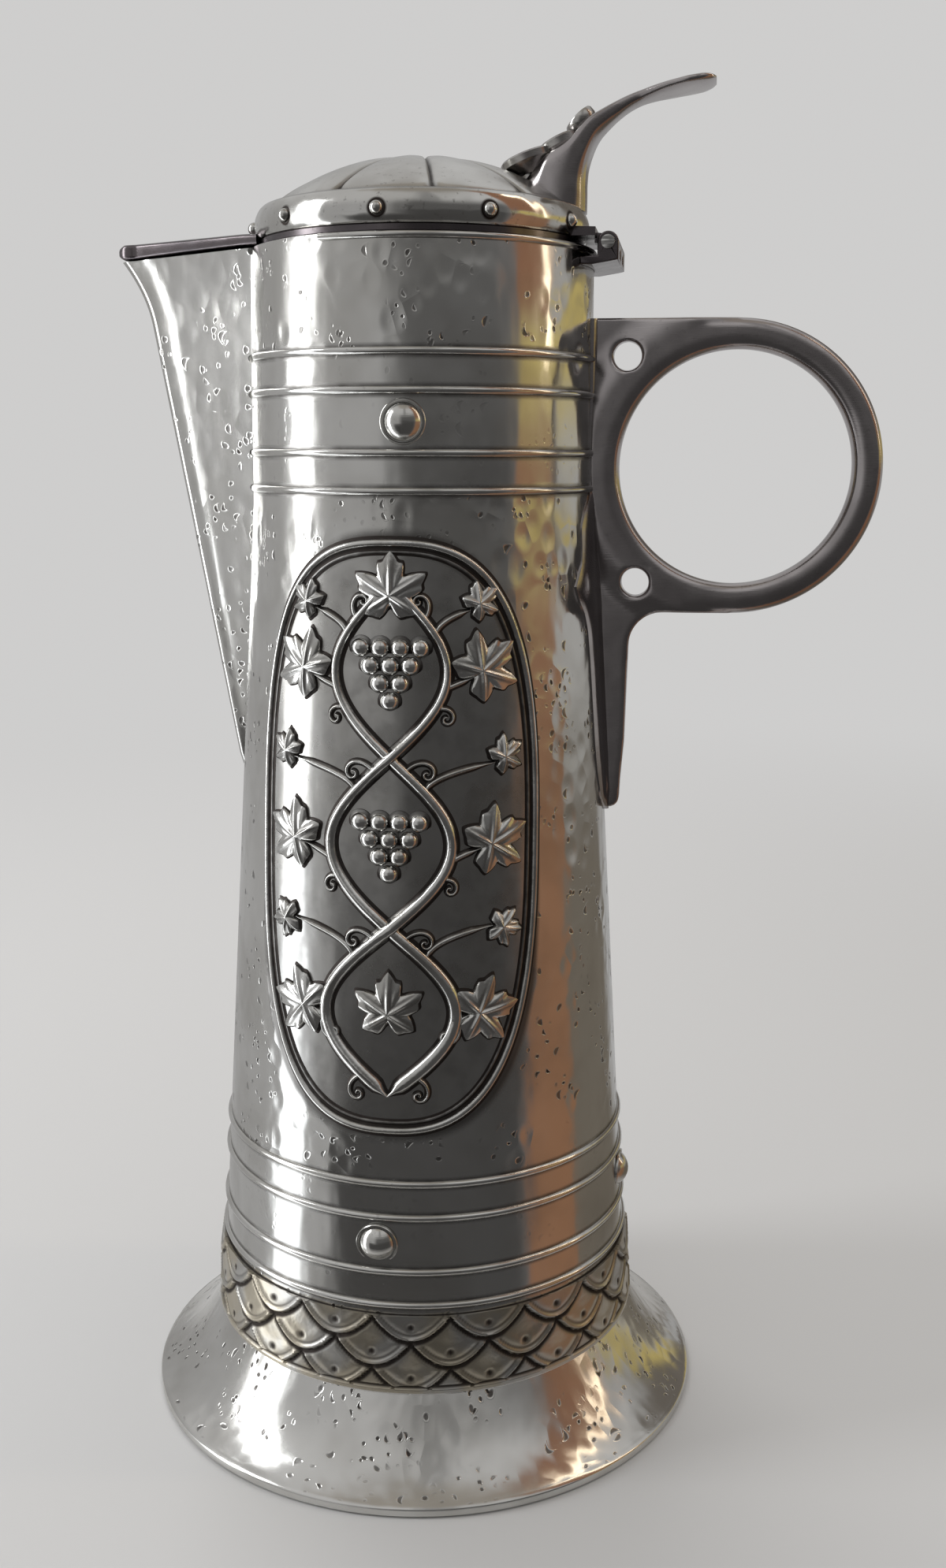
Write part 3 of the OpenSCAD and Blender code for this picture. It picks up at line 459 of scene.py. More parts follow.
# %% Finish of the relief
def chased_finish(name, low, high, gloss=0.13, light=PEWTER):
    """Relief metal: dark where it lies low on the body, bright on the rubbed heights."""
    f = Finish(name)
    x, y, z, here = f.spots_mm()
    lift = f.length(f.vector(x, y)) - (z - BASE_H) * TAPER - BASE_R
    cloud = f.noise(here, 4.0, 3.0, 0.6)
    rubbed = f.step(lift + (cloud - 0.5) * 0.5, low, high)
    bright = f.mix(f.step(f.noise(here, 12.0, 2.0), 0.4, 0.65), light, WORN)
    dirt = (1.0 - rubbed).most(f.marked()).least(0.97)
    colour = f.mix(dirt, bright, PATINA)
    roughness = gloss + 0.4 * dirt + 0.06 * cloud
    return f.metal(colour, roughness, ((f.noise(here, 1.6, 2.0), 0.08),))


# The scales' straw tint is a painted warm reflection.
scale_finish = chased_finish("chased_scales", 0.2, 0.9, 0.24, STRAW_REFLECTION)
vine_finish = chased_finish("chased_vine", 0.1, 1.0)
print("materials:", len(bpy.data.materials))

# %% [markdown]
# ## Tools for turning, drawing and skinning
#
# Most pieces of a jug are turned: their section is drawn once and swept round the axis. We start
# a piece as a single point, extrude it along its section, and spin the line. A few pieces change
# their section on the way, such as the spout and the thumbpiece: those are skinned over rows of
# points, as a boat's planks lie over its frames. `settle` gives a finished piece its material and
# its place in the moving frame.


# %% Drawing and turning
WELD = 0.01 * MM


def select_nothing():
    if bpy.context.mode != "OBJECT":
        bpy.ops.object.mode_set(mode="OBJECT")
    bpy.ops.object.select_all(action="DESELECT")


def only(piece):
    """Selects one piece and nothing else."""
    select_nothing()
    bpy.context.view_layer.objects.active = piece
    piece.select_set(True)


def draw_line(name, points):
    """A chain of edges through points in millimetres, left in edit mode with all selected."""
    select_nothing()
    bpy.ops.mesh.primitive_plane_add(size=2 * MM)
    piece = bpy.context.object
    piece.name = piece.data.name = name
    bpy.ops.object.mode_set(mode="EDIT")
    bpy.ops.mesh.select_mode(type="VERT")
    bpy.ops.mesh.merge(type="CENTER")
    bpy.ops.transform.translate(value=Vector(points[0]) * MM)
    for a, b in zip(points, points[1:]):
        move = (Vector(b) - Vector(a)) * MM
        bpy.ops.mesh.extrude_region_move(TRANSFORM_OT_translate={"value": move})
    bpy.ops.mesh.select_all(action="SELECT")
    return piece


def close_up(angle=35):
    """Welds the doubles, turns the faces outwards, leaves edit mode and smooths the piece."""
    bpy.ops.mesh.select_all(action="SELECT")
    bpy.ops.mesh.remove_doubles(threshold=WELD)
    bpy.ops.mesh.normals_make_consistent(inside=False)
    bpy.ops.object.mode_set(mode="OBJECT")
    bpy.ops.object.transform_apply(location=True, rotation=True, scale=True)
    bpy.ops.object.shade_smooth_by_angle(angle=radians(angle))
    return bpy.context.object


def turned(name, section, steps=160, centre=(0, 0, 0), axis=(0, 0, 1)):
    """A piece turned from a section of (radius, height) points in millimetres."""
    draw_line(name, [(p[0], 0, p[1]) if len(p) == 2 else p for p in section])
    bpy.ops.mesh.spin(steps=steps, angle=2 * pi, center=Vector(centre) * MM, axis=axis)
    return close_up()


def arc_points(centre, radius, start, end, count):
    """Points on an arc in a section, angles in degrees."""
    turns = [radians(start + (end - start) * i / (count - 1)) for i in range(count)]
    return [(centre[0] + radius * cos(a), centre[1] + radius * sin(a)) for a in turns]


def rounded(across, high, power, count):
    """Points round a rectangle with soft corners: a power of 2 is an ellipse, 5 nearly square."""
    made = []
    for i in range(count):
        c, s = cos(2 * pi * i / count), sin(2 * pi * i / count)
        a = across * copysign(abs(c) ** (2 / power), c)
        made.append((a, high * copysign(abs(s) ** (2 / power), s)))
    return made


print("turning tools are ready")


# %% Skinning
def from_mesh(name, mesh):
    """A new piece made of a mesh, in edit mode."""
    piece = bpy.data.objects.new(name, mesh)
    bpy.context.scene.collection.objects.link(piece)
    only(piece)
    bpy.ops.object.mode_set(mode="EDIT")
    return piece


def skin(name, rows, looped=False, angle=40, grime=None):
    """A piece skinned over rows of points in mm, each of them a loop. looped joins the last row to
    the first, else both ends are capped; grime gives each point its share of dirt."""
    count, last = len(rows[0]), len(rows)
    faces = []
    for i in range(last if looped else last - 1):
        a, b = i * count, (i + 1) % last * count
        for j in range(count):
            k = (j + 1) % count
            faces.append((a + j, a + k, b + k, b + j))
    if not looped:
        faces.append(tuple(range(count)))
        faces.append(tuple((last - 1) * count + j for j in range(count)))
    mesh = bpy.data.meshes.new(name)
    mesh.from_pydata([Vector(p) * MM for row in rows for p in row], [], faces)
    if grime:
        marks = mesh.attributes.new("grime", "FLOAT", "POINT")
        marks.data.foreach_set("value", [value for row in grime for value in row])
    from_mesh(name, mesh)
    return close_up(angle)


def smooth_rows(stations, count):
    """Reads a few given stations as a smooth run of count rows, by a Catmull-Rom curve."""
    made = []
    last = len(stations) - 1
    for i in range(count):
        t = i / (count - 1) * last
        k = min(int(t), last - 1)
        t -= k
        four = [stations[min(max(k + d, 0), last)] for d in (-1, 0, 1, 2)]
        row = []
        for a, b, c, d in zip(*four):
            bend = 2 * a - 5 * b + 4 * c - d + t * (3 * (b - c) + d - a)
            row.append(b + 0.5 * t * (c - a + t * bend))
        made.append(row)
    return made


def modified(piece, kind, **settings):
    """Adds one modifier with its settings and applies it."""
    added = piece.modifiers.new(kind.lower(), kind)
    for key, value in settings.items():
        setattr(added, key, value)
    only(piece)
    bpy.ops.object.modifier_apply(modifier=added.name)


def cut(piece, tool):
    modified(piece, "BOOLEAN", operation="DIFFERENCE", solver="EXACT", object=tool)
    bpy.data.objects.remove(tool)


def joined(name, pieces):
    """Makes one piece of several."""
    only(pieces[0])
    for piece in pieces:
        piece.select_set(True)
    bpy.ops.object.join()
    pieces[0].name = pieces[0].data.name = name
    return pieces[0]


def copies(name, piece, places):
    """One piece made of copies of another, each moved by a matrix in millimetres."""
    made = []
    for place in places:
        copy = piece.copy()
        copy.data = piece.data.copy()
        bpy.context.scene.collection.objects.link(copy)
        place = place.copy()
        place.translation *= MM
        copy.data.transform(place)
        made.append(copy)
    bpy.data.objects.remove(piece)
    return joined(name, made)


def settle(piece, finish, body, nodes):
    """Gives a piece its material, the body it rides on, and the CAD nodes it stands for."""
    piece.data.materials.clear()
    piece.data.materials.append(finish)
    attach(piece, body)
    if nodes:
        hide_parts(*nodes)
    print(f"{piece.name}: {len(piece.data.polygons)} faces on {body}")


print("skinning tools are ready")

# %% [markdown]
# ## The body
#
# The body is raised from one sheet. Its section is a thin wall, and rows of points close to the
# waist keep the bend soft without letting the shading creep up the collar. After turning, a
# wedge takes out the V through which the wine reaches the spout.

# %% Turn the body
outer = [(body_r(z), z) for z in (24, 26, 60, 120, 180, 240, 258)]
outer += [(48.43, 264), (48.13, 268), (48.07, 272), (48.03, 278)]
outer += [(body_r(z), z) for z in (300, 334.6)] + [(RIM_R - 0.35, 335.8)]
inner = [(RIM_R - WALL + 0.35, RIM_H), (RIM_R - WALL, RIM_H - 0.4)]
inner += [(WAIST_R - WALL, WAIST_H), (BASE_R - WALL, BASE_H)]
body = turned("body_sheet", outer + inner + [outer[0]], steps=192)

# %% Cut the mouth of the spout
MOUTH_LOW, MOUTH_HIGH = SPOUT_LOW + 30, RIM_H + 1
mouth = ((-15, MOUTH_HIGH), (15, MOUTH_HIGH), (2, MOUTH_LOW), (-2, MOUTH_LOW))
draw_line("wedge", [(-BASE_R, y, z) for y, z in mouth])
bpy.ops.mesh.edge_face_add()
bpy.ops.mesh.extrude_region_move(TRANSFORM_OT_translate={"value": (BASE_R * MM, 0, 0)})
cut(body, close_up())
bpy.ops.object.shade_smooth_by_angle(angle=radians(35))
settle(body, body_finish, "jug", ["body_shell"])

# %% [markdown]
# ## The foot and the bottom
#
# The foot is a flared skirt with a small upright edge. Seen from the side its line sags a little,
# like a trumpet's bell, so the section follows a sine between the body and the edge. A plain
# disc, let in a little above the foot, closes the body.

# %% Turn the foot
FOOT_R, FOOT_EDGE, FOOT_T, FOOT_SAG = 83.4, 2.4, 2.0, 3.0


def flare(t, inset):
    r = BASE_R + (FOOT_R - BASE_R) * t - inset
    return r, BASE_H + (FOOT_EDGE - BASE_H) * t - FOOT_SAG * sin(pi * t)


skirt = [(BASE_R - WALL - 1, BASE_H)] + [flare(i / 16, 0) for i in range(16)]
skirt += [(83.1, 2.75), (83.4, 2.3), (83.4, 0.6), (82.9, 0), (81.4, 0), (81.4, 0.6)]
skirt += [flare(i / 16, FOOT_T + 0.6 * (1 - i / 16)) for i in range(16, -1, -1)]
foot = turned("foot_flare", skirt + [skirt[0]], steps=192)
settle(foot, foot_finish, "jug", ["foot"])

# %% Turn the bottom
low, high = BASE_H + 1, BASE_H + 3
disc = [(0, low), (body_r(low) - WALL, low), (body_r(high) - WALL, high), (0, high)]
bottom = turned("bottom_disc", disc, steps=128)
settle(bottom, dull_inside, "jug", ["bottom_plate"])

# %% [markdown]
# ## The handle's flange
#
# A thin collar spreads the handle's pull over the body. It is narrow at its foot, swells into two
# round lobes under the ring, and runs up to the rim as a slim fillet. Above the lobes it ends
# where the web takes over, so one table of half widths describes all of it.

# %% Skin the flange
FLANGE_SIDES = [
    (180, 1.2), (182, 4.2), (186, 8), (193, 10.4), (200, 11.5), (225, 12.5), (233, 13.3), (238, 15),
    (242, 18.2), (245.8, 20), (249, 17.6), (252, 15.4), (256, 14.8), (261.8, 14.5), (266, 11.5),
    (269.5, 6.5), (272, 4.4), (318, 4.0),
]
FLANGE_T = 1.2


def flange_side(z):
    return between(FLANGE_SIDES, z)


def flange_row(z):
    """One level of the flange: its outer face from side to side, and its back in the wall."""
    half, r = flange_side(z), body_r(z)
    outside, inside = [], []
    for i in range(25):
        v = i / 12 - 1
        a = v * half / r
        web_fillet = 0.9 * peak(max(0.0, abs(v * half) - 2.6), 1.2)
        lift = FLANGE_T * (1 - 0.7 * abs(v) ** 4) + web_fillet * min(1, half / 8)
        outside.append(((r + lift) * cos(a), (r + lift) * sin(a), z))
        inside.append(((r - 0.9) * cos(a), (r - 0.9) * sin(a), z))
    return outside + inside[::-1]


levels = [FLANGE_SIDES[0][0] + 1.5 * i for i in range(93)]
flange = skin("handle_flange_sheet", [flange_row(z) for z in levels], angle=50)
settle(flange, shaded_cast, "jug", ["handle_flange"])

# %% [markdown]
# ## The rings
#
# Eight half round wires are soldered round the body in two bands. The four upper ones stop at the
# spout and at the handle's flange, so each is two arcs. The lower ones run all the way round. The
# rim has a finer wire of the same kind, which is open only at the spout.


# %% Make the rings
def half_round(z, radius):
    """Section of a half round wire on the body, closed at its back."""
    turns = [radians(d) for d in range(-105, 106, 15)]
    made = [(body_r(z) + radius * cos(a), 0, z + radius * sin(a)) for a in turns]
    return made + made[:1]


def wire_arc(name, z, radius, low, high):
    """An arc of wire between two angles, in degrees from +X, with closed ends."""
    draw_line(name, half_round(z, radius))
    bpy.ops.mesh.edge_face_add()
    bpy.ops.mesh.spin(steps=112, angle=radians(high - low), center=(0, 0, 0), axis=(0, 0, 1))
    arc = close_up()
    arc.data.transform(Matrix.Rotation(radians(low), 4, "Z"))
    return arc


def stopped_ring(name, z, radius, spout_w, handle_w=0.0):
    """A wire that leaves room for the spout, and for the handle where it has a width there."""
    r = body_r(z)
    beside_spout = degrees(asin(spout_w / r))
    beside_handle = degrees(asin(handle_w / r))
    ends = [(beside_handle, 180 - beside_spout), (180 + beside_spout, 360 - beside_handle)]
    if not handle_w:
        ends = [(180 + beside_spout, 540 - beside_spout)]
    return joined(name, [wire_arc(name, z, radius, low, high) for low, high in ends])


for i, z in enumerate(UPPER_RINGS, 1):
    wire = stopped_ring(f"upper_wire_{i}", z, 1.0, spout_side(z), max(4.4, flange_side(z)))
    settle(wire, burnished, "jug", [f"upper_ring_{i}"])
for i, z in enumerate(LOWER_RINGS, 1):
    wire = turned(f"lower_wire_{i}", half_round(z, 1.0), steps=192)
    settle(wire, burnished, "jug", [f"lower_ring_{i}"])
wire = stopped_ring("rim_bead", RIM_H - 0.9, 0.9, spout_side(RIM_H))
settle(wire, burnished, "jug", ["rim_wire"])

# %% [markdown]
# ## The spout
#
# The spout is folded from one sheet into a beak: two flat sides, a rounded ridge with a shallow
# valley beside it, and a lip that flares out at the top. It stands on the body in a long V. Every
# level has the same kind of section, only wider, so we skin it, outside and inside in one loop.

# %% The spout's section
SPOUT_WALL, SPOUT_FALL = 1.5, tan(radians(2.3))
SPOUT_TIP, RIDGE_LOW_X, LIP_LOW = 186.0, 55.8, 318


def ridge_x(z):
    if z < SPOUT_LOW:
        root = body_r(SPOUT_TIP) - 0.6
        return root + (RIDGE_LOW_X - root) * (z - SPOUT_TIP) / (SPOUT_LOW - SPOUT_TIP)
    lip = 5 * (max(0, z - LIP_LOW) / 18) ** 2
    return RIDGE_LOW_X + 25.8 * (z - SPOUT_LOW) / 145 + lip


def spout_path(z, inset, valley):
    """Points of one level from a side over the ridge to the other side, as (x, y)."""
    t = max(0.0, (z - SPOUT_LOW) / (RIM_H - SPOUT_LOW))
    r = max(0.4, 1.8 * min(1, (z - SPOUT_TIP) / 5) + 1.8 * t - inset)
    half = max(0.3, spout_side(max(z, SPOUT_LOW)) * min(1, (z - SPOUT_TIP + 0.6) / 5) - inset * 1.1)
    reach = max(ridge_x(z) - inset, body_r(z) - 0.4)
    root = Vector((-sqrt(body_r(z) ** 2 - half * half) + 1.1, half))
    centre = Vector((-(reach - r), 0))

    def round_ridge(a):
        return centre + r * Vector((-cos(radians(a)), sin(radians(a))))

    start = round_ridge(72)
    along, long = (start - root), (start - root).length
    out = Vector((-along.y, along.x)).normalized()
    if out.y < 0:
        out = -out
    made = []
    for i in range(14):
        s = i / 14
        from_ridge = (1 - s) * long
        dip = valley * peak(from_ridge - 2.4, 1.3) + 0.5 * valley * sin(pi * s)
        made.append(root + along * s - out * dip * t)
    made += [round_ridge(72 - 9 * i) for i in range(8)]
    across = [Vector((p.x, -p.y)) for p in made[::-1]]
    return made + [centre + Vector((-r, 0))] + across


def spout_level(z):
    """One closed level, pulled down a little towards the tip as the upper edge slopes."""
    points = spout_path(z, 0, 0.55) + spout_path(z, SPOUT_WALL, 0.3)[::-1]
    row = []
    for p in points:
        fall = max(0.0, -p.x - RIM_R) * SPOUT_FALL * (z - SPOUT_TIP) / (RIM_H - SPOUT_TIP)
        row.append((p.x, p.y, z - fall))
    return row


# %% Skin the spout
first = SPOUT_TIP + 0.7
levels = [first + (RIM_H - SPOUT_TIP - 0.7) * (1 - (1 - i / 59) ** 1.35) for i in range(60)]
spout = skin("beak_spout", [spout_level(z) for z in levels], angle=38)
settle(spout, spout_finish, "jug", ["spout"])

# %% [markdown]
# ## The handle
#
# The handle is one casting: a finger ring of soft rectangular section, a flat web with two holes,
# and a strut that runs down the body. We make the ring by turning and the web by extruding its
# outline, and drill both. Then they are remeshed into one skin, whose thickness passes softly from
# the ring's to the web's, and smoothed like a casting that hands have polished.

# %% The finger ring
RING_X, RING_Z, RING_MID = 87.7, 278.0, 36.0
BAR_W, BAR_T, WEB_T = 8.4, 8.8, 5.6
bar = [(RING_X + RING_MID + a, b, RING_Z) for a, b in rounded(BAR_W / 2, BAR_T / 2, 2.7, 32)]
ring = turned("finger_ring", bar + bar[:1], 144, centre=(RING_X, 0, RING_Z), axis=(0, 1, 0))

# %% The web and its holes
STRUT_LOW, STRUT_X = 180.0, 59.585
TOP, LOW = RING_Z + 40.2, RING_Z - 40.2
edge = [(46.6, TOP), (RING_X, TOP)]
edge += arc_points((RING_X, RING_Z), RING_MID, 90, 270, 33)
edge += [(RING_X, LOW), (74, LOW)]
edge += arc_points((STRUT_X + 9.6, LOW - 9.6), 9.6, 90, 180, 9)
edge += [(STRUT_X - 0.6, STRUT_LOW + 20), (STRUT_X - 1.5, STRUT_LOW + 9)]
edge += arc_points((54.9, STRUT_LOW + 3.8), 3.0, 0, -100, 7)
edge += [(body_r(z) + 0.2, z) for z in (184, 225, 262)] + [(WAIST_R - 0.4, 270)]
draw_line("web", [(x, -WEB_T / 2, z) for x, z in edge + edge[:1]])
bpy.ops.mesh.remove_doubles(threshold=WELD)
bpy.ops.mesh.edge_face_add()
bpy.ops.mesh.extrude_region_move(TRANSFORM_OT_translate={"value": (0, WEB_T * MM, 0)})
web = close_up()
HOLES = ((41.5, 230), (42.6, 135))
DRILL = ((0, -5), (6.4, -5), (3.9, -2.3), (3.9, 2.3), (6.4, 5), (0, 5))
for part, out, angle in ((p, *hole) for p in (web, ring) for hole in HOLES):
    x = RING_X + out * cos(radians(angle))
    z = RING_Z + out * sin(radians(angle))
    core = [(x + r, y, z) for r, y in DRILL]
    cut(part, turned("drill", core, 48, centre=(x, 0, z), axis=(0, 1, 0)))

# %% Cast them in one and swell the web towards the ring
handle = joined("finger_handle", [web, ring])
modified(handle, "REMESH", mode="VOXEL", voxel_size=0.5 * MM)
for vertex in handle.data.vertices:
    x, y, z = vertex.co / MM
    far = hypot(x - RING_X, z - RING_Z)
    if x < RING_X and far > RING_MID:
        half = WEB_T / 2 + (BAR_T - WEB_T) / 2 * ease((50 - far) / 10)
        swollen = copysign(min(abs(y) * half * 2 / WEB_T, half), y)
        vertex.co.y = (y + (swollen - y) * ease((RING_X - x) / 14)) * MM
modified(handle, "SMOOTH", factor=0.5, iterations=9)
bpy.ops.object.shade_smooth()
settle(handle, shaded_cast, "jug", ["handle"])

# %% [markdown]
# ## The lid's dome
#
# The dome is chased into ten panels. Each panel swells a little like a cushion, and where two of
# them and the dome's edge meet, the engraved line runs up in a small peak. We skin the dome over
# rings of points whose height follows a formula. The rings have more points beside the seams,
# because that is where the surface bends most.

# %% Skin the dome
DOME_R, DOME_RISE, DOME_EDGE, SPHERE_R = 41.4, 13.4, 347.0, 70.65
SEAM_TURN, PANELS, LID_T, BAND_INNER_R = 13.6, 10, 1.5, 39.9
PANEL = 360 / PANELS
SEAM_STEPS = (0, 0.35, 0.7, 1.1, 1.6, 2.3, 3.4, 5, 7.5, 10.5, 14, 18)


def dome_z(r, inset=0.0):
    return DOME_EDGE + DOME_RISE - SPHERE_R + sqrt((SPHERE_R - inset) ** 2 - r * r)


def seam_distance(r, turn):
    """Millimetres to the nearest engraved line; the lines round off where they meet."""
    beside, edge, soft = r * sin(radians(abs(turn))), DOME_R - r, 1.1
    return -soft * log(exp(-beside / soft) + exp(-edge / soft))


def dome_point(r, turn, seam):
    """A point on the panels, and its grime."""
    near = max(0, seam_distance(r, turn))
    swell = 0.6 * (1 - exp(-near / 3)) - 0.75 * peak(near, 0.55)
    a = radians(SEAM_TURN + seam * PANEL + turn)
    return from_front(r, a, dome_z(r) + swell * ease(r / 9)), peak(near, 0.5) * ease((r - 1) / 4)


around = [-turn for turn in SEAM_STEPS[:0:-1]] + list(SEAM_STEPS[:-1])
turns = [(seam, turn) for seam in range(PANELS) for turn in around]
radii = [0.15, 1, 2] + [2 + 32.4 * i / 22 for i in range(1, 23)]
radii += [34.4 + 7 * ease(i / 22) ** 0.5 for i in range(1, 23)]
both = [[dome_point(r, turn, seam) for seam, turn in turns] for r in radii]
rows = [[p for p, _ in row] for row in both]
marks = [[g for _, g in row] for row in both]
under = [(DOME_R, DOME_EDGE - 0.4, 0.6), (BAND_INNER_R, DOME_EDGE, 0.6)]
under += [(r, dome_z(r, LID_T), 0.0) for r in (36, 28, 18, 8, 0.2)]
angles = [radians(SEAM_TURN + seam * PANEL + turn) for seam, turn in turns]
for r, z, grime in under:
    rows.append([from_front(r, a, z) for a in angles])
    marks.append([grime] * len(turns))
dome = skin("panelled_dome", rows, angle=50, grime=marks)
settle(dome, dome_finish, "lid", ["lid_dome"])

# %% [markdown]
# ## The lid's band, seat and locating ring
#
# Under the dome runs a bulging band with round studs, and under that a flat seat that rests on
# the jug's rim. A short ring inside keeps the lid in its place. All three are turned. The band's
# finish paints a little shadow round each stud, and the seat's dark finish is a painted shadow of
# the gap over the rim.

# %% Turn the band
BAND_LOW, BAND_R, BULGE_R, BAND_MID = 338.2, 46.2, 7.5, 341.7
STUD_TURN, STUDS, STUD_R = -4.4, 10, 1.8
section = [(BAND_INNER_R, BAND_LOW), (45.0, BAND_LOW), (45.3, BAND_LOW + 0.1)]
section += arc_points((BAND_R - BULGE_R, BAND_MID), BULGE_R, -24, 36, 15)
section += [(44.1, 346.7), (43.4, 346.95), (42.6, 346.9), (41.9, 346.75), (41.5, 346.6)]
section += [(BAND_INNER_R, 346.6), (BAND_INNER_R, BAND_LOW)]
band = turned("studded_band", section, steps=200)


def band_finish():
    f = Finish("burnished_band")
    x, y, z, here = f.spots_mm()
    cloud = f.step(f.noise(here, 24.0, 3.0, 0.6), 0.32, 0.7)
    turn = round_arc(x, y, 180 / pi) - STUD_TURN
    aside = turn.maths("PINGPONG", 180 / STUDS) * (pi / 180 * BAND_R)
    near = f.length(f.vector(aside, z - BAND_MID))
    # A dark ring round each stud is a painted shadow; dirt below carries it with the specks and the
    # dark top edge.
    ring = f.step(abs(near - 2.1), 0.8, 0.1)
    specks = f.step(f.noise(here, 1.6, 2.0, 0.6), 0.6, 0.74) * 0.4
    edge = f.step(z, 346.3, 347.0) * 0.8
    dirt = ring.most(specks).most(edge)
    colour = f.mix(dirt, f.mix(cloud, PEWTER, WORN), PATINA)
    return f.metal(colour, 0.10 + 0.08 * cloud + 0.2 * dirt, ((f.noise(here, 7.0, 1.0), 0.35),))


settle(band, band_finish(), "lid", ["lid_band"])

# %% Turn the seat and the locating ring
SEAT_LOW = 336.3
seat_edge = [(40.6, 336.5), (40.8, SEAT_LOW), (44.5, SEAT_LOW), (44.8, 336.6), (44.8, 338.0)]
seat_edge += [(44.6, BAND_LOW), (40.6, BAND_LOW)]
seat = turned("lid_seat_ring", seat_edge + seat_edge[:1])
# The seat's dark finish is a painted shadow of the gap between the band and the rim.
settle(seat, tarnish_and_shade, "lid", ["lid_seat"])
skirt = [(43.8, SEAT_LOW), (43.8, 331.5), (44.0, 331.3), (45.1, 331.3), (45.3, 331.5)]
skirt += [(45.3, SEAT_LOW), (43.8, SEAT_LOW)]
locating = turned("locating_skirt", skirt)
settle(locating, dull_inside, "lid", ["lid_locating_ring"])

# %% [markdown]
# ## Studs and bosses
#
# The small studs on the lid's band are plain half balls. The larger bosses on the jug's ring
# bands are domes with a flat collar. Each is turned once, upright, and its copies are laid
# against the surface with a matrix.


# %% Place the studs and the bosses
def against(angle, r, z, lean=0.0):
    """A matrix that lays an upright piece against the jug at an angle from the front."""
    turn = Matrix.Rotation(radians(angle), 4, "Z")
    shift = Matrix.Translation((0, -r, z))
    return turn @ shift @ Matrix.Rotation(radians(90 + lean), 4, "X")


ball = arc_points((0, 0.1), STUD_R, 90, -10, 12) + [(1.7, -0.5), (0, -0.5)]
angles = [STUD_TURN + i * 36 for i in range(STUDS)]
places = [against(a, BAND_R - 0.15, BAND_MID) for a in angles if abs(a - 90) > 22]
studs = copies("band_studs", turned("ball", ball, steps=32), places)
settle(studs, burnished, "lid", ["lid_studs"])

BOSS_R, BOSS_RISE = 5.0, 3.0
cap_r = (BOSS_R**2 + BOSS_RISE**2) / (2 * BOSS_RISE)
spread = degrees(asin((BOSS_R - 0.3) / cap_r))
cap = arc_points((0, BOSS_RISE - cap_r), cap_r, 90, 90 - spread, 14)
collar = [(4.95, 0.05), (5.15, 0.05), (5.4, 0.42), (5.75, 0.4), (5.9, 0.2), (5.9, -0.5), (0, -0.5)]
cone_lean = degrees(atan(-TAPER))
for name, node, first, count, z, lean in (
    ("upper_boss_pair", "upper_bosses", 3.8, 2, UPPER_BAND_H, 0.4),
    ("lower_boss_set", "lower_bosses", -2.8, 4, LOWER_BAND_H, cone_lean),
):
    places = [against(first + i * 360 / count, body_r(z), z, lean) for i in range(count)]
    set_on = copies(name, turned("boss", cap + collar, steps=56), places)
    settle(set_on, burnished, "jug", [node])

# %% [markdown]
# ## The tongue
#
# A flat tongue sticks out of the lid and covers the spout. It is thickest along its middle and
# ends in a round tip. We skin it from its root to the tip over flattened ovals.

# %% Skin the tongue
TONGUE_T, TONGUE_REACH, TIP_R = 4.4, 87.6, 4.4
ROOT_X, WIDEST_X, WIDEST_HALF = 42.5, 40.8, 18.6


def tongue_half(x):
    """Half of the tongue's width at a distance from the axis."""
    tip = TONGUE_REACH - TIP_R
    if x > tip - 1.3:
        return sqrt(max(0.0, TIP_R**2 - (x - tip) ** 2)) * 0.985 + 0.02
    lean = (WIDEST_HALF - TIP_R * 0.95) / (tip - 1.3 - WIDEST_X)
    return WIDEST_HALF - (x - WIDEST_X) * lean


rows = []
for i in range(44):
    x = ROOT_X + (TONGUE_REACH - 0.05 - ROOT_X) * sin(pi / 2 * i / 43)
    half = tongue_half(x)
    low = RIM_H + 0.3 - max(0.0, x - RIM_R) * SPOUT_FALL
    blunt = min(1.0, sqrt(max(0.02, (TONGUE_REACH - x) / 2.5)))
    row = []
    for a, b in rounded(half, 1.0, 5.0, 40):
        thick = (TONGUE_T - 0.9 * abs(a) / 30) * blunt
        row.append((-x, a, low + TONGUE_T / 2 * (1 - blunt) + thick * (0.5 + 0.5 * b)))
    rows.append(row)
tongue = skin("lid_tongue_plate", rows, angle=50)
# The tongue's dark finish is painted shade for the dark room that it reflects.
settle(tongue, tarnish_and_shade, "lid", ["lid_tongue"])

# %% [markdown]
# ## The thumbpiece
#
# The thumb pushes down a curved lever that grows out of the lid: a broad foot over the band, a
# slim stem that sweeps up and back, and a flat paddle. We give its front and back line at eleven
# stations and let a smooth curve run through them. The width follows the place along the lid, as
# it does on the CAD piece.

# %% Skin the thumbpiece
THUMB = [
    (24, 349.6, 45.5, 345.8), (30, 356, 45.5, 350), (34, 360.4, 45.5, 354),
    (40.5, 364.4, 46, 358.5), (45, 369.2, 48, 363.8), (48.7, 371.6, 51, 367.4),
    (54.5, 374.6, 56.5, 371.8), (61.2, 376.9, 62.5, 374.4), (69.6, 378.6, 70, 376.1),
    (76.4, 379.6, 76.8, 377.3), (79.2, 379.1, 79.4, 378.5),
]
THUMB_HALF = [
    (24, 3.2), (28, 5.0), (34, 8.3), (42, 8.5), (47, 6.9), (53, 4.6), (60, 4.6), (66, 7.4),
    (72, 8.9), (76, 8.5), (78.5, 6.6), (79.5, 4.2),
]


def thumb_row(front_x, front_z, back_x, back_z):
    front, back = Vector((front_x, 0, front_z)), Vector((back_x, 0, back_z))
    middle, half = (front + back) / 2, (front - back) / 2
    row = []
    for a, b in rounded(1.0, 1.0, 3.4, 36):
        p = middle + half * a
        row.append(p + Vector((0, b * between(THUMB_HALF, p.x), 0)))
    return row


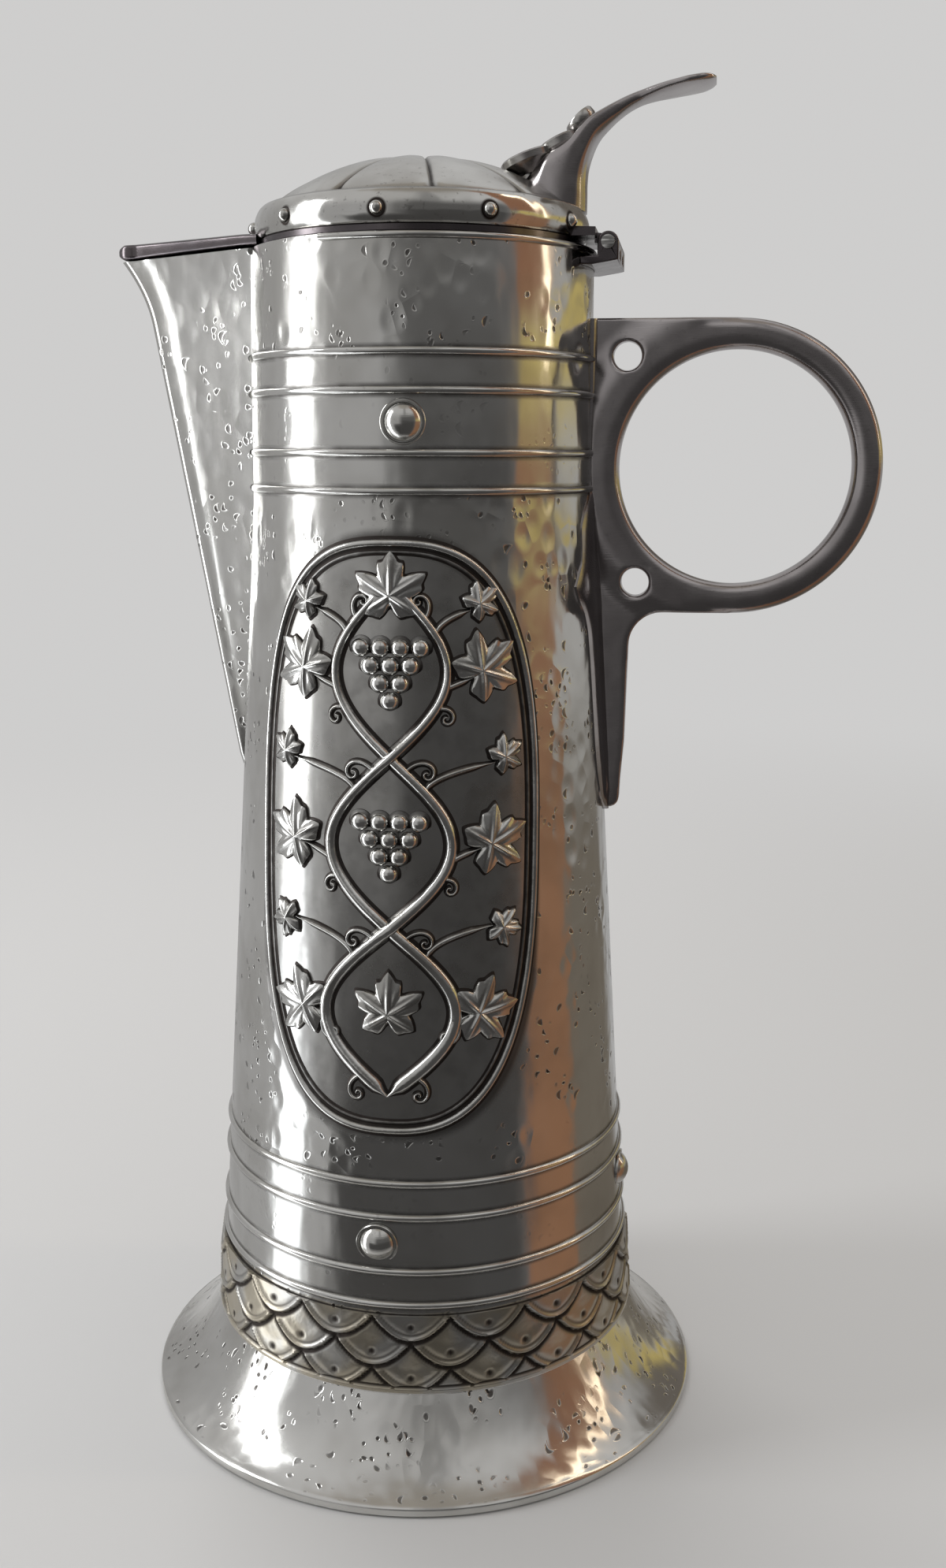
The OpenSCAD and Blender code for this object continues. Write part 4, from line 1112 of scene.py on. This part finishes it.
rows = [thumb_row(*station) for station in smooth_rows(THUMB, 60)]
thumb = skin("thumb_lever", rows, angle=60)
modified(thumb, "SMOOTH", factor=0.4, iterations=2)
settle(thumb, shaded_cast, "lid", ["thumbpiece"])

# %% [markdown]
# Three shingles step up the lever's front. Each is a thick round plate with a crowned top, turned
# once for its size and tilted into its place.

# %% Shingles on the lever
SHINGLES = ((21.6, 22.7, 7.6, 20), (32.0, 27.0, 6.0, 24), (39.2, 31.6, 4.4, 44))
SHINGLE = (
    (0, 0.1), (0.4, 0.08), (0.75, -0.05), (0.93, -0.3), (1, -0.8), (0.99, -2.4), (0.9, -3.1),
    (0.5, -5.4), (0, -5.4),
)
plates = []
for tip, high, r, tilt in SHINGLES:
    plate = turned("shingle", [(r * share, z) for share, z in SHINGLE], steps=56)
    place = Matrix.Translation((tip, 0, RIM_H + high)) @ Matrix.Rotation(radians(-tilt), 4, "Y")
    plates.append(copies("shingle", plate, [place @ Matrix.Translation((r, 0, 0))]))
settle(joined("thumb_shingles", plates), worn_cast, "lid", ["thumb_scales"])

# %% [markdown]
# ## The band of scales
#
# Between the body and the foot runs a band of three rows of scales, which overlap like tiles.
# Modelling 54 scales apart would leave gaps between them, so we turn one fine band and push its
# points out by a formula: it finds the scale that a point belongs to, raises a lip along that
# scale's lower edge, sinks a groove under the lip, and punches a dot in the middle.

# %% Height of the scales
SCALE_LOW, SCALE_ROWS, SCALES, ROW_H, BOW_DEPTH = 25.2, 3, 18, 7.5, 7.1
SCALE_TURN, SCALE_BAND_T = 6.25, 0.7
SCALE_HIGH = SCALE_LOW + SCALE_ROWS * ROW_H
SCALE_STEP = 360 / SCALES


def below_scale(angle, z, row):
    """Distance from a point up to a row's lower edge, square to the edge; over 0 is above it."""
    u = ((angle - SCALE_TURN) / SCALE_STEP - (row % 2) / 2 + 0.5) % 1.0 - 0.5
    corner = SCALE_HIGH - row * ROW_H - 0.2
    slope = 8 * BOW_DEPTH * u / (radians(SCALE_STEP) * BASE_R)
    return (z - corner + BOW_DEPTH * (1 - 4 * u * u)) / hypot(1, slope), u, corner


def scale_surface(angle, z):
    """Height over the body, and darkening of the band at a point: groove grime and painted shade.
    """
    over = 9.0
    for row in range(SCALE_ROWS):
        inside, u, corner = below_scale(angle, z, row)
        if inside > 0:
            break
        over = -inside
    else:
        height = SCALE_BAND_T + 0.1 - 0.5 * peak(over, 0.8)
        return height, max(ease(1.9 - over), 0.25)
    clear = ease(over / 2)
    lip = peak(inside - 0.75, 0.55) * clear
    crown = 0.35 * peak(inside - 3.4, 2.0)
    dot = hypot(u * radians(SCALE_STEP) * BASE_R, z - corner + 3.1)
    punch = exp(-((dot / 1.1) ** 4))
    height = SCALE_BAND_T + 0.25 + 0.75 * lip + crown - 0.65 * peak(over, 0.95) - 0.4 * punch
    # A painted shade line runs along each scale's face just above its lip.
    ridge_shade = 0.7 * peak(inside - 1.9, 0.5) * clear
    return height, min(1.0, max(ease(1.9 - over), punch, ridge_shade, 0.12))


below, _, _ = below_scale(SCALE_TURN, 30, 1)
print("a scale's lower edge at 30 mm:", round(below, 2), "mm away")

# %% Skin the band
columns = [i * 360 / 576 for i in range(576)]
levels = [SCALE_LOW + (SCALE_HIGH - SCALE_LOW) * i / 62 for i in range(63)]
rows, marks = [], []
for z in levels:
    line = [scale_surface(angle, z) for angle in columns]
    if z < SCALE_LOW + 1.1:
        line = [(1.3, 0.1)] * len(columns)
    elif z < SCALE_LOW + 1.9:
        line = [(min(height, 0.6), 0.9) for height, _ in line]
    rows.append([on_body(radians(a) * body_r(z), z, h) for a, (h, _) in zip(columns, line)])
    marks.append([grime for _, grime in line])
for z in (SCALE_HIGH, SCALE_LOW):
    rows.append([on_body(radians(a) * body_r(z), z, -0.3) for a in columns])
    marks.append([0.8] * len(columns))
scales = skin("scale_collar", rows, looped=True, angle=60, grime=marks)
settle(scales, scale_finish, "jug", ["scale_band", "band_scales"])

# %% [markdown]
# ## The border and the vine
#
# The front of the body carries a chased relief in a tall oval border: two vine stems that cross
# and part again, with broad leaves outside the loops and bunches of grapes inside them. The
# border and the stems are half round wires that we skin along their path on the body.

# %% A wire along a path on the body
VINE_LOW, VINE_HIGH, SWING = 110.95, 249.05, 19.0
VINE_LOOP = (VINE_HIGH - VINE_LOW) / 3


def wire_rows(path, rise, looped=False):
    """Rows for a raised wire; the path's points are (arc, height, half width, extra lift)."""
    rows, last = [], len(path)
    for i, (arc, z, half, lift) in enumerate(path):
        before = path[i - 1] if i or looped else path[0]
        after = path[(i + 1) % last] if i + 1 < last or looped else path[-1]
        along = Vector((after[0] - before[0], after[1] - before[1])).normalized()
        turns = [radians(d) for d in range(0, 181, 15)]
        spots = [(half * cos(a), max(0.2, sin(a) * rise) + lift) for a in turns]
        rim = half + min(0.8, 0.3 + 0.5 * half)
        spots += [(-rim, 0.02), (-rim, -0.6), (rim, -0.6), (rim, 0.02)]
        rows.append([on_body(arc + along.y * d, z - along.x * d, out) for d, out in spots])
    return rows


def tapered(path):
    """Draws a wire's two ends out to points."""
    last = len(path) - 1
    thin = [0.12 + 0.88 * ease(min(i, last - i) / 2.5) for i in range(len(path))]
    return [(arc, z, half * t, lift) for (arc, z, half, lift), t in zip(path, thin)]


def oval(inset, half, rise):
    """A wire along an oval with full corners, drawn in from the border's line by an inset."""
    line = rounded(BORDER_W - inset, BORDER_H - inset, BORDER_POWER, 240)
    path = [(arc, BORDER_MID + z, half, 0.0) for arc, z in line]
    return skin("oval_line", wire_rows(path, rise, True), looped=True)


rope, thin = oval(0, 1.0, 1.1), oval(2.3, 0.45, 0.5)
settle(joined("oval_border", [rope, thin]), vine_finish, "jug", ["vine_border"])


# %% Stems
def stem_at(t, turned_side):
    arc = turned_side * SWING * sin(3 * pi * t) * (1 - 0.25 * t)
    return arc, VINE_LOW + (VINE_HIGH - VINE_LOW) * t


def stem_path(turned_side):
    """A stem that swings from side to side, and passes over the other at every second crossing."""
    path = []
    for i in range(121):
        t = i / 120
        arc, z = stem_at(t, turned_side)
        over_at = 1 / 3 if turned_side < 0 else 2 / 3
        hump = 1.1 * peak(t - over_at, 0.028)
        path.append((arc, z, 1.7 * (1.15 - 0.5 * t), hump))
    return tapered(path)


for name, turned_side in (("stem_left", -1), ("stem_right", 1)):
    stem = skin(name, wire_rows(stem_path(turned_side), 1.7), angle=60)
    settle(stem, vine_finish, "jug", ["vine_" + name])

# %% [markdown]
# Each leaf has five lobes with a vein in each. Its outline is a list of distances from its middle,
# for one half, as on the CAD piece; we read it with straight lines between its points and skin
# the leaf in rings.

# %% Leaves
LEAF_HALF = [
    (0, 0.72), (13, 0.55), (22, 0.56), (34, 0.36), (47, 0.52), (58, 0.68), (70, 0.53), (80, 0.52),
    (94, 0.34), (108, 0.42), (124, 0.52), (140, 0.42), (157, 0.38), (172, 0.2), (180, 0.17),
]
VEINS = (0, 58, 124)


def vein_distance(half, out):
    """Millimetres to the nearest vein of a point at an angle and a distance from the middle."""
    return min(abs(out * sin(radians(half - v))) if abs(half - v) < 80 else 9 for v in VEINS)


def leaf_piece(name, arc, z, turn, size):
    rows, marks = [], []
    for i in range(15):
        s = max(0.02, i / 11) if i < 12 else 1.0
        row, line = [], []
        for j in range(120):
            half = abs((j * 3.0 + 180) % 360 - 180)
            out = size * between(LEAF_HALF, half) * s + 0.8 * (i > 12)
            vein = vein_distance(half, out)
            groove = peak(vein - 0.9, 0.4)
            rib = peak(vein, 0.42) * (1 - s * s)
            lift = 0.95 + 1.15 * (1 - s**2.4) + 0.35 * rib - 0.25 * groove * (1 - s)
            if i > 11:
                lift = (0.25, 0.02, -0.5)[i - 12]
            a = radians(j * 3.0 + turn)
            row.append(on_body(arc + out * sin(a), z + out * cos(a), lift))
            line.append(0.55 * groove * (s < 0.95) + 0.5 * (i > 11))
        rows.append(row)
        marks.append(line)
    return skin(name, rows, angle=60, grime=marks)


def tip_room(z):
    """How far the border's line lies from the middle at a height."""
    rise = abs(z - BORDER_MID) / BORDER_H
    return BORDER_W * (1 - rise**BORDER_POWER) ** (1 / BORDER_POWER)


LEAF_SIZE, LEAFLET_SIZE = 16.0, 9.0
LEAF_TIP = LEAF_SIZE * LEAF_HALF[0][1]
leaf_places = []
for loop, turn, room in ((-1, 80, 0.8), (0, 65, 2.5), (1, 50, 1.0)):
    z = BORDER_MID + loop * VINE_LOOP
    lean = radians(turn)
    arc = tip_room(z + LEAF_TIP * cos(lean)) - 1 - room - LEAF_TIP * sin(lean)
    leaf_places += [(-arc, z, -turn), (arc, z, turn)]
leaf_places += [(0, BORDER_MID - VINE_LOOP, 0), (0, BORDER_MID + BORDER_H - 2 - LEAF_TIP, 0)]
leaves = [leaf_piece("leaf", *place, LEAF_SIZE) for place in leaf_places]
small_places = []
for s in (-1, 1):
    small_places += [(s * 30.5, BORDER_MID + k * VINE_LOOP / 2, s * (80 - 22 * k)) for k in (-1, 1)]
small_places += [(s * 23, BORDER_MID + 63.5, s * 52) for s in (-1, 1)]
leaflets = [leaf_piece("leaflet", *place, LEAFLET_SIZE) for place in small_places]
settle(joined("vine_leaf_set", leaves), vine_finish, "jug", ["vine_leaves"])

# %% [markdown]
# Thin stalks tie the leaves to the stems. Leaflets and tendrils fill the free corners. They are
# too fine for the CAD model, so they are only here.


# %% Stalks and tendrils
def stalk(start, leaf):
    """A bowed stalk from a stem to a leaf's base."""
    arc, z, turn = leaf
    turn = radians(turn)
    base = Vector((arc - 2.6 * sin(turn), z - 2.6 * cos(turn)))
    start = Vector(start)
    bow = Vector((start.x, base.y - 3.0))
    path = []
    for i in range(13):
        t = i / 12
        p = start * (1 - t) ** 2 + bow * (2 * t * (1 - t)) + base * t**2
        path.append((p.x, p.y, 0.62, 0.15))
    return tapered(path)


TENDRIL_STEPS, TENDRIL_CURLS = 46, 1.35
# Each row: how far up the stem, which stem (1 is the one on this side), and for a tendril its
# heading in degrees from straight up, the way it winds, and its reach in millimetres.
STALKS = ((0.13, 1), (0.46, -1), (0.80, 1), (0.27, 1), (0.60, -1), (0.90, 1))
TENDRILS = (
    (0.31, 1, 40, 1, 8.0), (0.40, -1, 20, 1, 8.5), (0.64, -1, 40, 1, 8.0), (0.73, 1, 20, 1, 8.5),
    (0.93, 1, 35, -1, 6.5), (0.04, 1, 110, 1, 7.5), (0.16, 1, 150, 1, 8.0),
)


def tendril(start, heading, hand, reach):
    """A wire that runs out and winds up."""
    path, p, a = [], Vector(start), radians(heading)
    for i in range(TENDRIL_STEPS):
        t = i / (TENDRIL_STEPS - 1)
        path.append((p.x, p.y, 0.55 * (1 - 0.5 * t), 0.1))
        a += hand * radians(360 * TENDRIL_CURLS) / TENDRIL_STEPS * (0.25 + 1.5 * t)
        p += Vector((sin(a), cos(a))) * reach / TENDRIL_STEPS * 3.2 * (1 - 0.72 * t)
    return tapered(path)


threads = []
for s in (-1, 1):
    ends = [place for place in leaf_places[:6] + small_places if place[0] * s > 0]
    threads += [stalk(stem_at(t, s * stem), leaf) for (t, stem), leaf in zip(STALKS, ends)]
    for t, stem, heading, hand, reach in TENDRILS:
        threads.append(tendril(stem_at(t, s * stem), s * heading, s * hand, reach))
wires = [skin("thread", wire_rows(path, 0.85), angle=60) for path in threads]
settle(joined("stalks_and_tendrils", wires + leaflets), vine_finish, "jug", ())

# %% Grapes
GRAPE_R = 2.6
for name, node, middle in (
    ("grape_bunch_upper", "grapes_upper", BORDER_MID + VINE_LOOP - 1),
    ("grape_bunch_lower", "grapes_lower", BORDER_MID - 1),
):
    places = []
    for row in range(4):
        z = middle + (1.5 - row) * (1.74 * GRAPE_R + 0.1)
        for i in range(4 - row):
            arc = (i - (3 - row) / 2) * (2 * GRAPE_R + 0.1)
            places.append(against(degrees(arc / body_r(z)), body_r(z), z, cone_lean))
    half_ball = arc_points((0, 0), GRAPE_R, 90, 5, 8)
    half_ball += [(GRAPE_R + 0.7, 0.02), (GRAPE_R + 0.7, -0.5), (0, -0.5)]
    bunch = copies(name, turned("grape", half_ball, steps=28), places)
    settle(bunch, vine_finish, "jug", [node])

# %% [markdown]
# ## The hinge
#
# The hinge keeps the CAD model's shapes: a bracket with three knuckles on the jug, a leaf with two
# on the lid, and the pin through all five. We copy them, draw the bracket's lower end up a little
# and give all edges a small round.

# %% Round the hinge's edges
KNUCKLES_LOW, DRAWN_UP = 332.2, 0.85
for name, body, finish in (
    ("hinge_bracket", "jug", tarnish_and_shade),
    ("hinge_pin", "jug", burnished),
    ("lid_hinge_leaf", "lid", tarnish_and_shade),
):
    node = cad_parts[name]
    mesh = node.data.copy()
    mesh.transform(node.matrix_world)
    for vertex in mesh.vertices:
        below = KNUCKLES_LOW * MM - vertex.co.z
        if below > 0:
            vertex.co.z += DRAWN_UP * below
    piece = from_mesh("rounded_" + name, mesh)
    close_up(30)
    edges = {"limit_method": "ANGLE", "angle_limit": radians(40)}
    modified(piece, "BEVEL", width=0.35 * MM, segments=2, **edges)
    bpy.ops.object.shade_smooth_by_angle(angle=radians(50))
    settle(piece, finish, body, [name])

# %% [markdown]
# ## The studio
#
# Polished metal shows the room it stands in. The pale floor melts into a pale background, and a
# tall soft box on the left gives a long white light. In front of the jug the room is dark, and
# towards the handle it is warm. The camera sees none of this, only the jug's metal does. On the
# floor the same bands are painted as a glow that only glossy rays see, a painted reflection that
# runs outwards to meet those of the room. It starts at the jug's front face, where the metal is.

# %% The room, as metal sees it
PALE = (0.62, 0.615, 0.61, 1)
WALLS, DARK, DIM = (0.45, 0.447, 0.445, 1), (0.075, 0.073, 0.072, 1), (0.17, 0.15, 0.13, 1)
BROWN, GOLD, WINDOW_REFLECTION = (0.30, 0.15, 0.088, 1), (0.60, 0.48, 0.17, 1), (3.0, 3.1, 3.2, 1)
ZENITH, MATTE = (0.40, 0.37, 0.33, 1), (0.60, 0.595, 0.59, 1)


def room_sides(f, x, y, near, high):
    """The room in a direction: near is 1 on the floor close by, and high gives the elevation."""
    flat = f.length(f.vector(x, y))

    def towards(angle, rim, core):
        """1 within core degrees of an angle from the front, 0 beyond rim degrees."""
        share = (x * sin(radians(angle)) - y * cos(radians(angle))) / flat
        return f.step(share, cos(radians(rim)), cos(radians(core)))

    # The dark front fades upwards; the brown side and the dim floor lie towards the handle, with
    # a golden strip low behind them, and a white window strip, a painted reflection, glows from
    # the floor on the left.
    gold = f.step(high, -0.01, 0.08) * f.step(high, 0.24, 0.12)
    dark = towards(34, 57, 28) * f.step(high, 0.75, 0.3)
    dark = dark.most(towards(12, 63, 52) * near).most(towards(15, 12, 5) * 0.6)
    colour = f.mix(f.step(high, 0.3, 0.7), WALLS, PALE)
    colour = f.mix(dark * (1.0 - 0.15 * f.step(high, 0.0, 0.05)), colour, DARK)
    colour = f.mix(towards(118, 38, 26) * near, colour, DIM)
    behind = f.step(high, 0.06, 0.16) * f.step(high, 0.8, 0.5)
    colour = f.mix(towards(150, 32, 18) * behind, colour, DIM)
    colour = f.mix(towards(89, 18, 14) * (1.0 - gold), colour, BROWN)
    colour = f.mix(towards(113, 42, 34) * gold, colour, GOLD)
    return f.mix(towards(-75, 11, 7) * near, colour, WINDOW_REFLECTION)


# %% Floor
select_nothing()
bpy.ops.mesh.primitive_circle_add(vertices=96, radius=9, fill_type="NGON", location=(0, 0, -0.0002))
floor = bpy.context.object
floor.name = "floor"
f = Finish("pale_floor")
here = f.node("TexCoord", out="Object")
fx, fy, _ = f.node("SeparateXYZ", {}, (here,), out=(0, 1, 2))
far = f.length(here)
matte = f.node("BsdfPrincipled", {}, {"Base Color": MATTE, "Roughness": 0.55})
glow = f.node("Emission", {}, {"Color": PALE, "Strength": 1.0})
# For glossy rays only, the floor near the jug glows with the room's bands: a painted reflection of
# the dark front, the dim warm side and a bright window strip, cast by no lamp.
sides = room_sides(f, fx - 0.008, fy + 0.045, f.step(far, 2.0, 0.8), f.step(far, 9.0, 9.1))
painted_reflection = f.node("Emission", {}, {"Color": sides, "Strength": 1.0})
plain = f.node("MixShader", {}, (f.step(far, 0.35, 1.3), matte, glow))
glossy = f.node("LightPath", out="Is Glossy Ray")
f.end(f.node("MixShader", {}, (glossy * f.step(far, 0.09, 0.16), plain, painted_reflection)))
floor.data.materials.append(f.data)

# %% World
w = Finish("studio_room", world=True)
look = w.node("TexCoord", out="Generated")
lx, ly, lz = w.node("SeparateXYZ", {}, (look,), out=(0, 1, 2))
walls = room_sides(w, lx, ly, w.step(lz, 0.0, -0.1), lz)
room = w.mix(w.step(lz, 0.88, 0.98), walls, ZENITH)
glossy = w.node("LightPath", out="Is Glossy Ray")
sky = w.node("Background", {}, {"Color": w.mix(glossy, PALE, room), "Strength": 1.0})
bpy.context.scene.world = w.end(sky, "OutputWorld")


# %% Soft boxes
def soft_box(name, angle, distance, width, height, middle, watts, colour, shown=True):
    """An area light at an angle from the camera's side, in degrees, facing the jug's middle."""
    select_nothing()
    bpy.ops.object.light_add(type="AREA")
    lamp = bpy.context.object
    lamp.name = name
    lamp.data.shape = "RECTANGLE"
    lamp.data.size, lamp.data.size_y = width, height
    lamp.data.energy = watts
    lamp.data.color = colour
    lamp.visible_glossy = shown
    a = radians(angle + 10.0)
    lamp.location = (distance * sin(a), -distance * cos(a), middle)
    facing = Vector((0, 0, 0.18)) - lamp.location
    lamp.rotation_euler = facing.to_track_quat("-Z", "Y").to_euler()


soft_box("window_box", -85, 1.1, 0.32, 1.6, 0.35, 10, (0.97, 0.985, 1.0))
soft_box("warm_box", 88, 1.1, 0.10, 1.25, 0.95, 1.3, (1.0, 0.84, 0.62))
soft_box("top_box", 200, 1.2, 1.0, 1.0, 1.3, 9, (1, 1, 1), shown=False)
bpy.context.scene.view_settings.view_transform = "Standard"
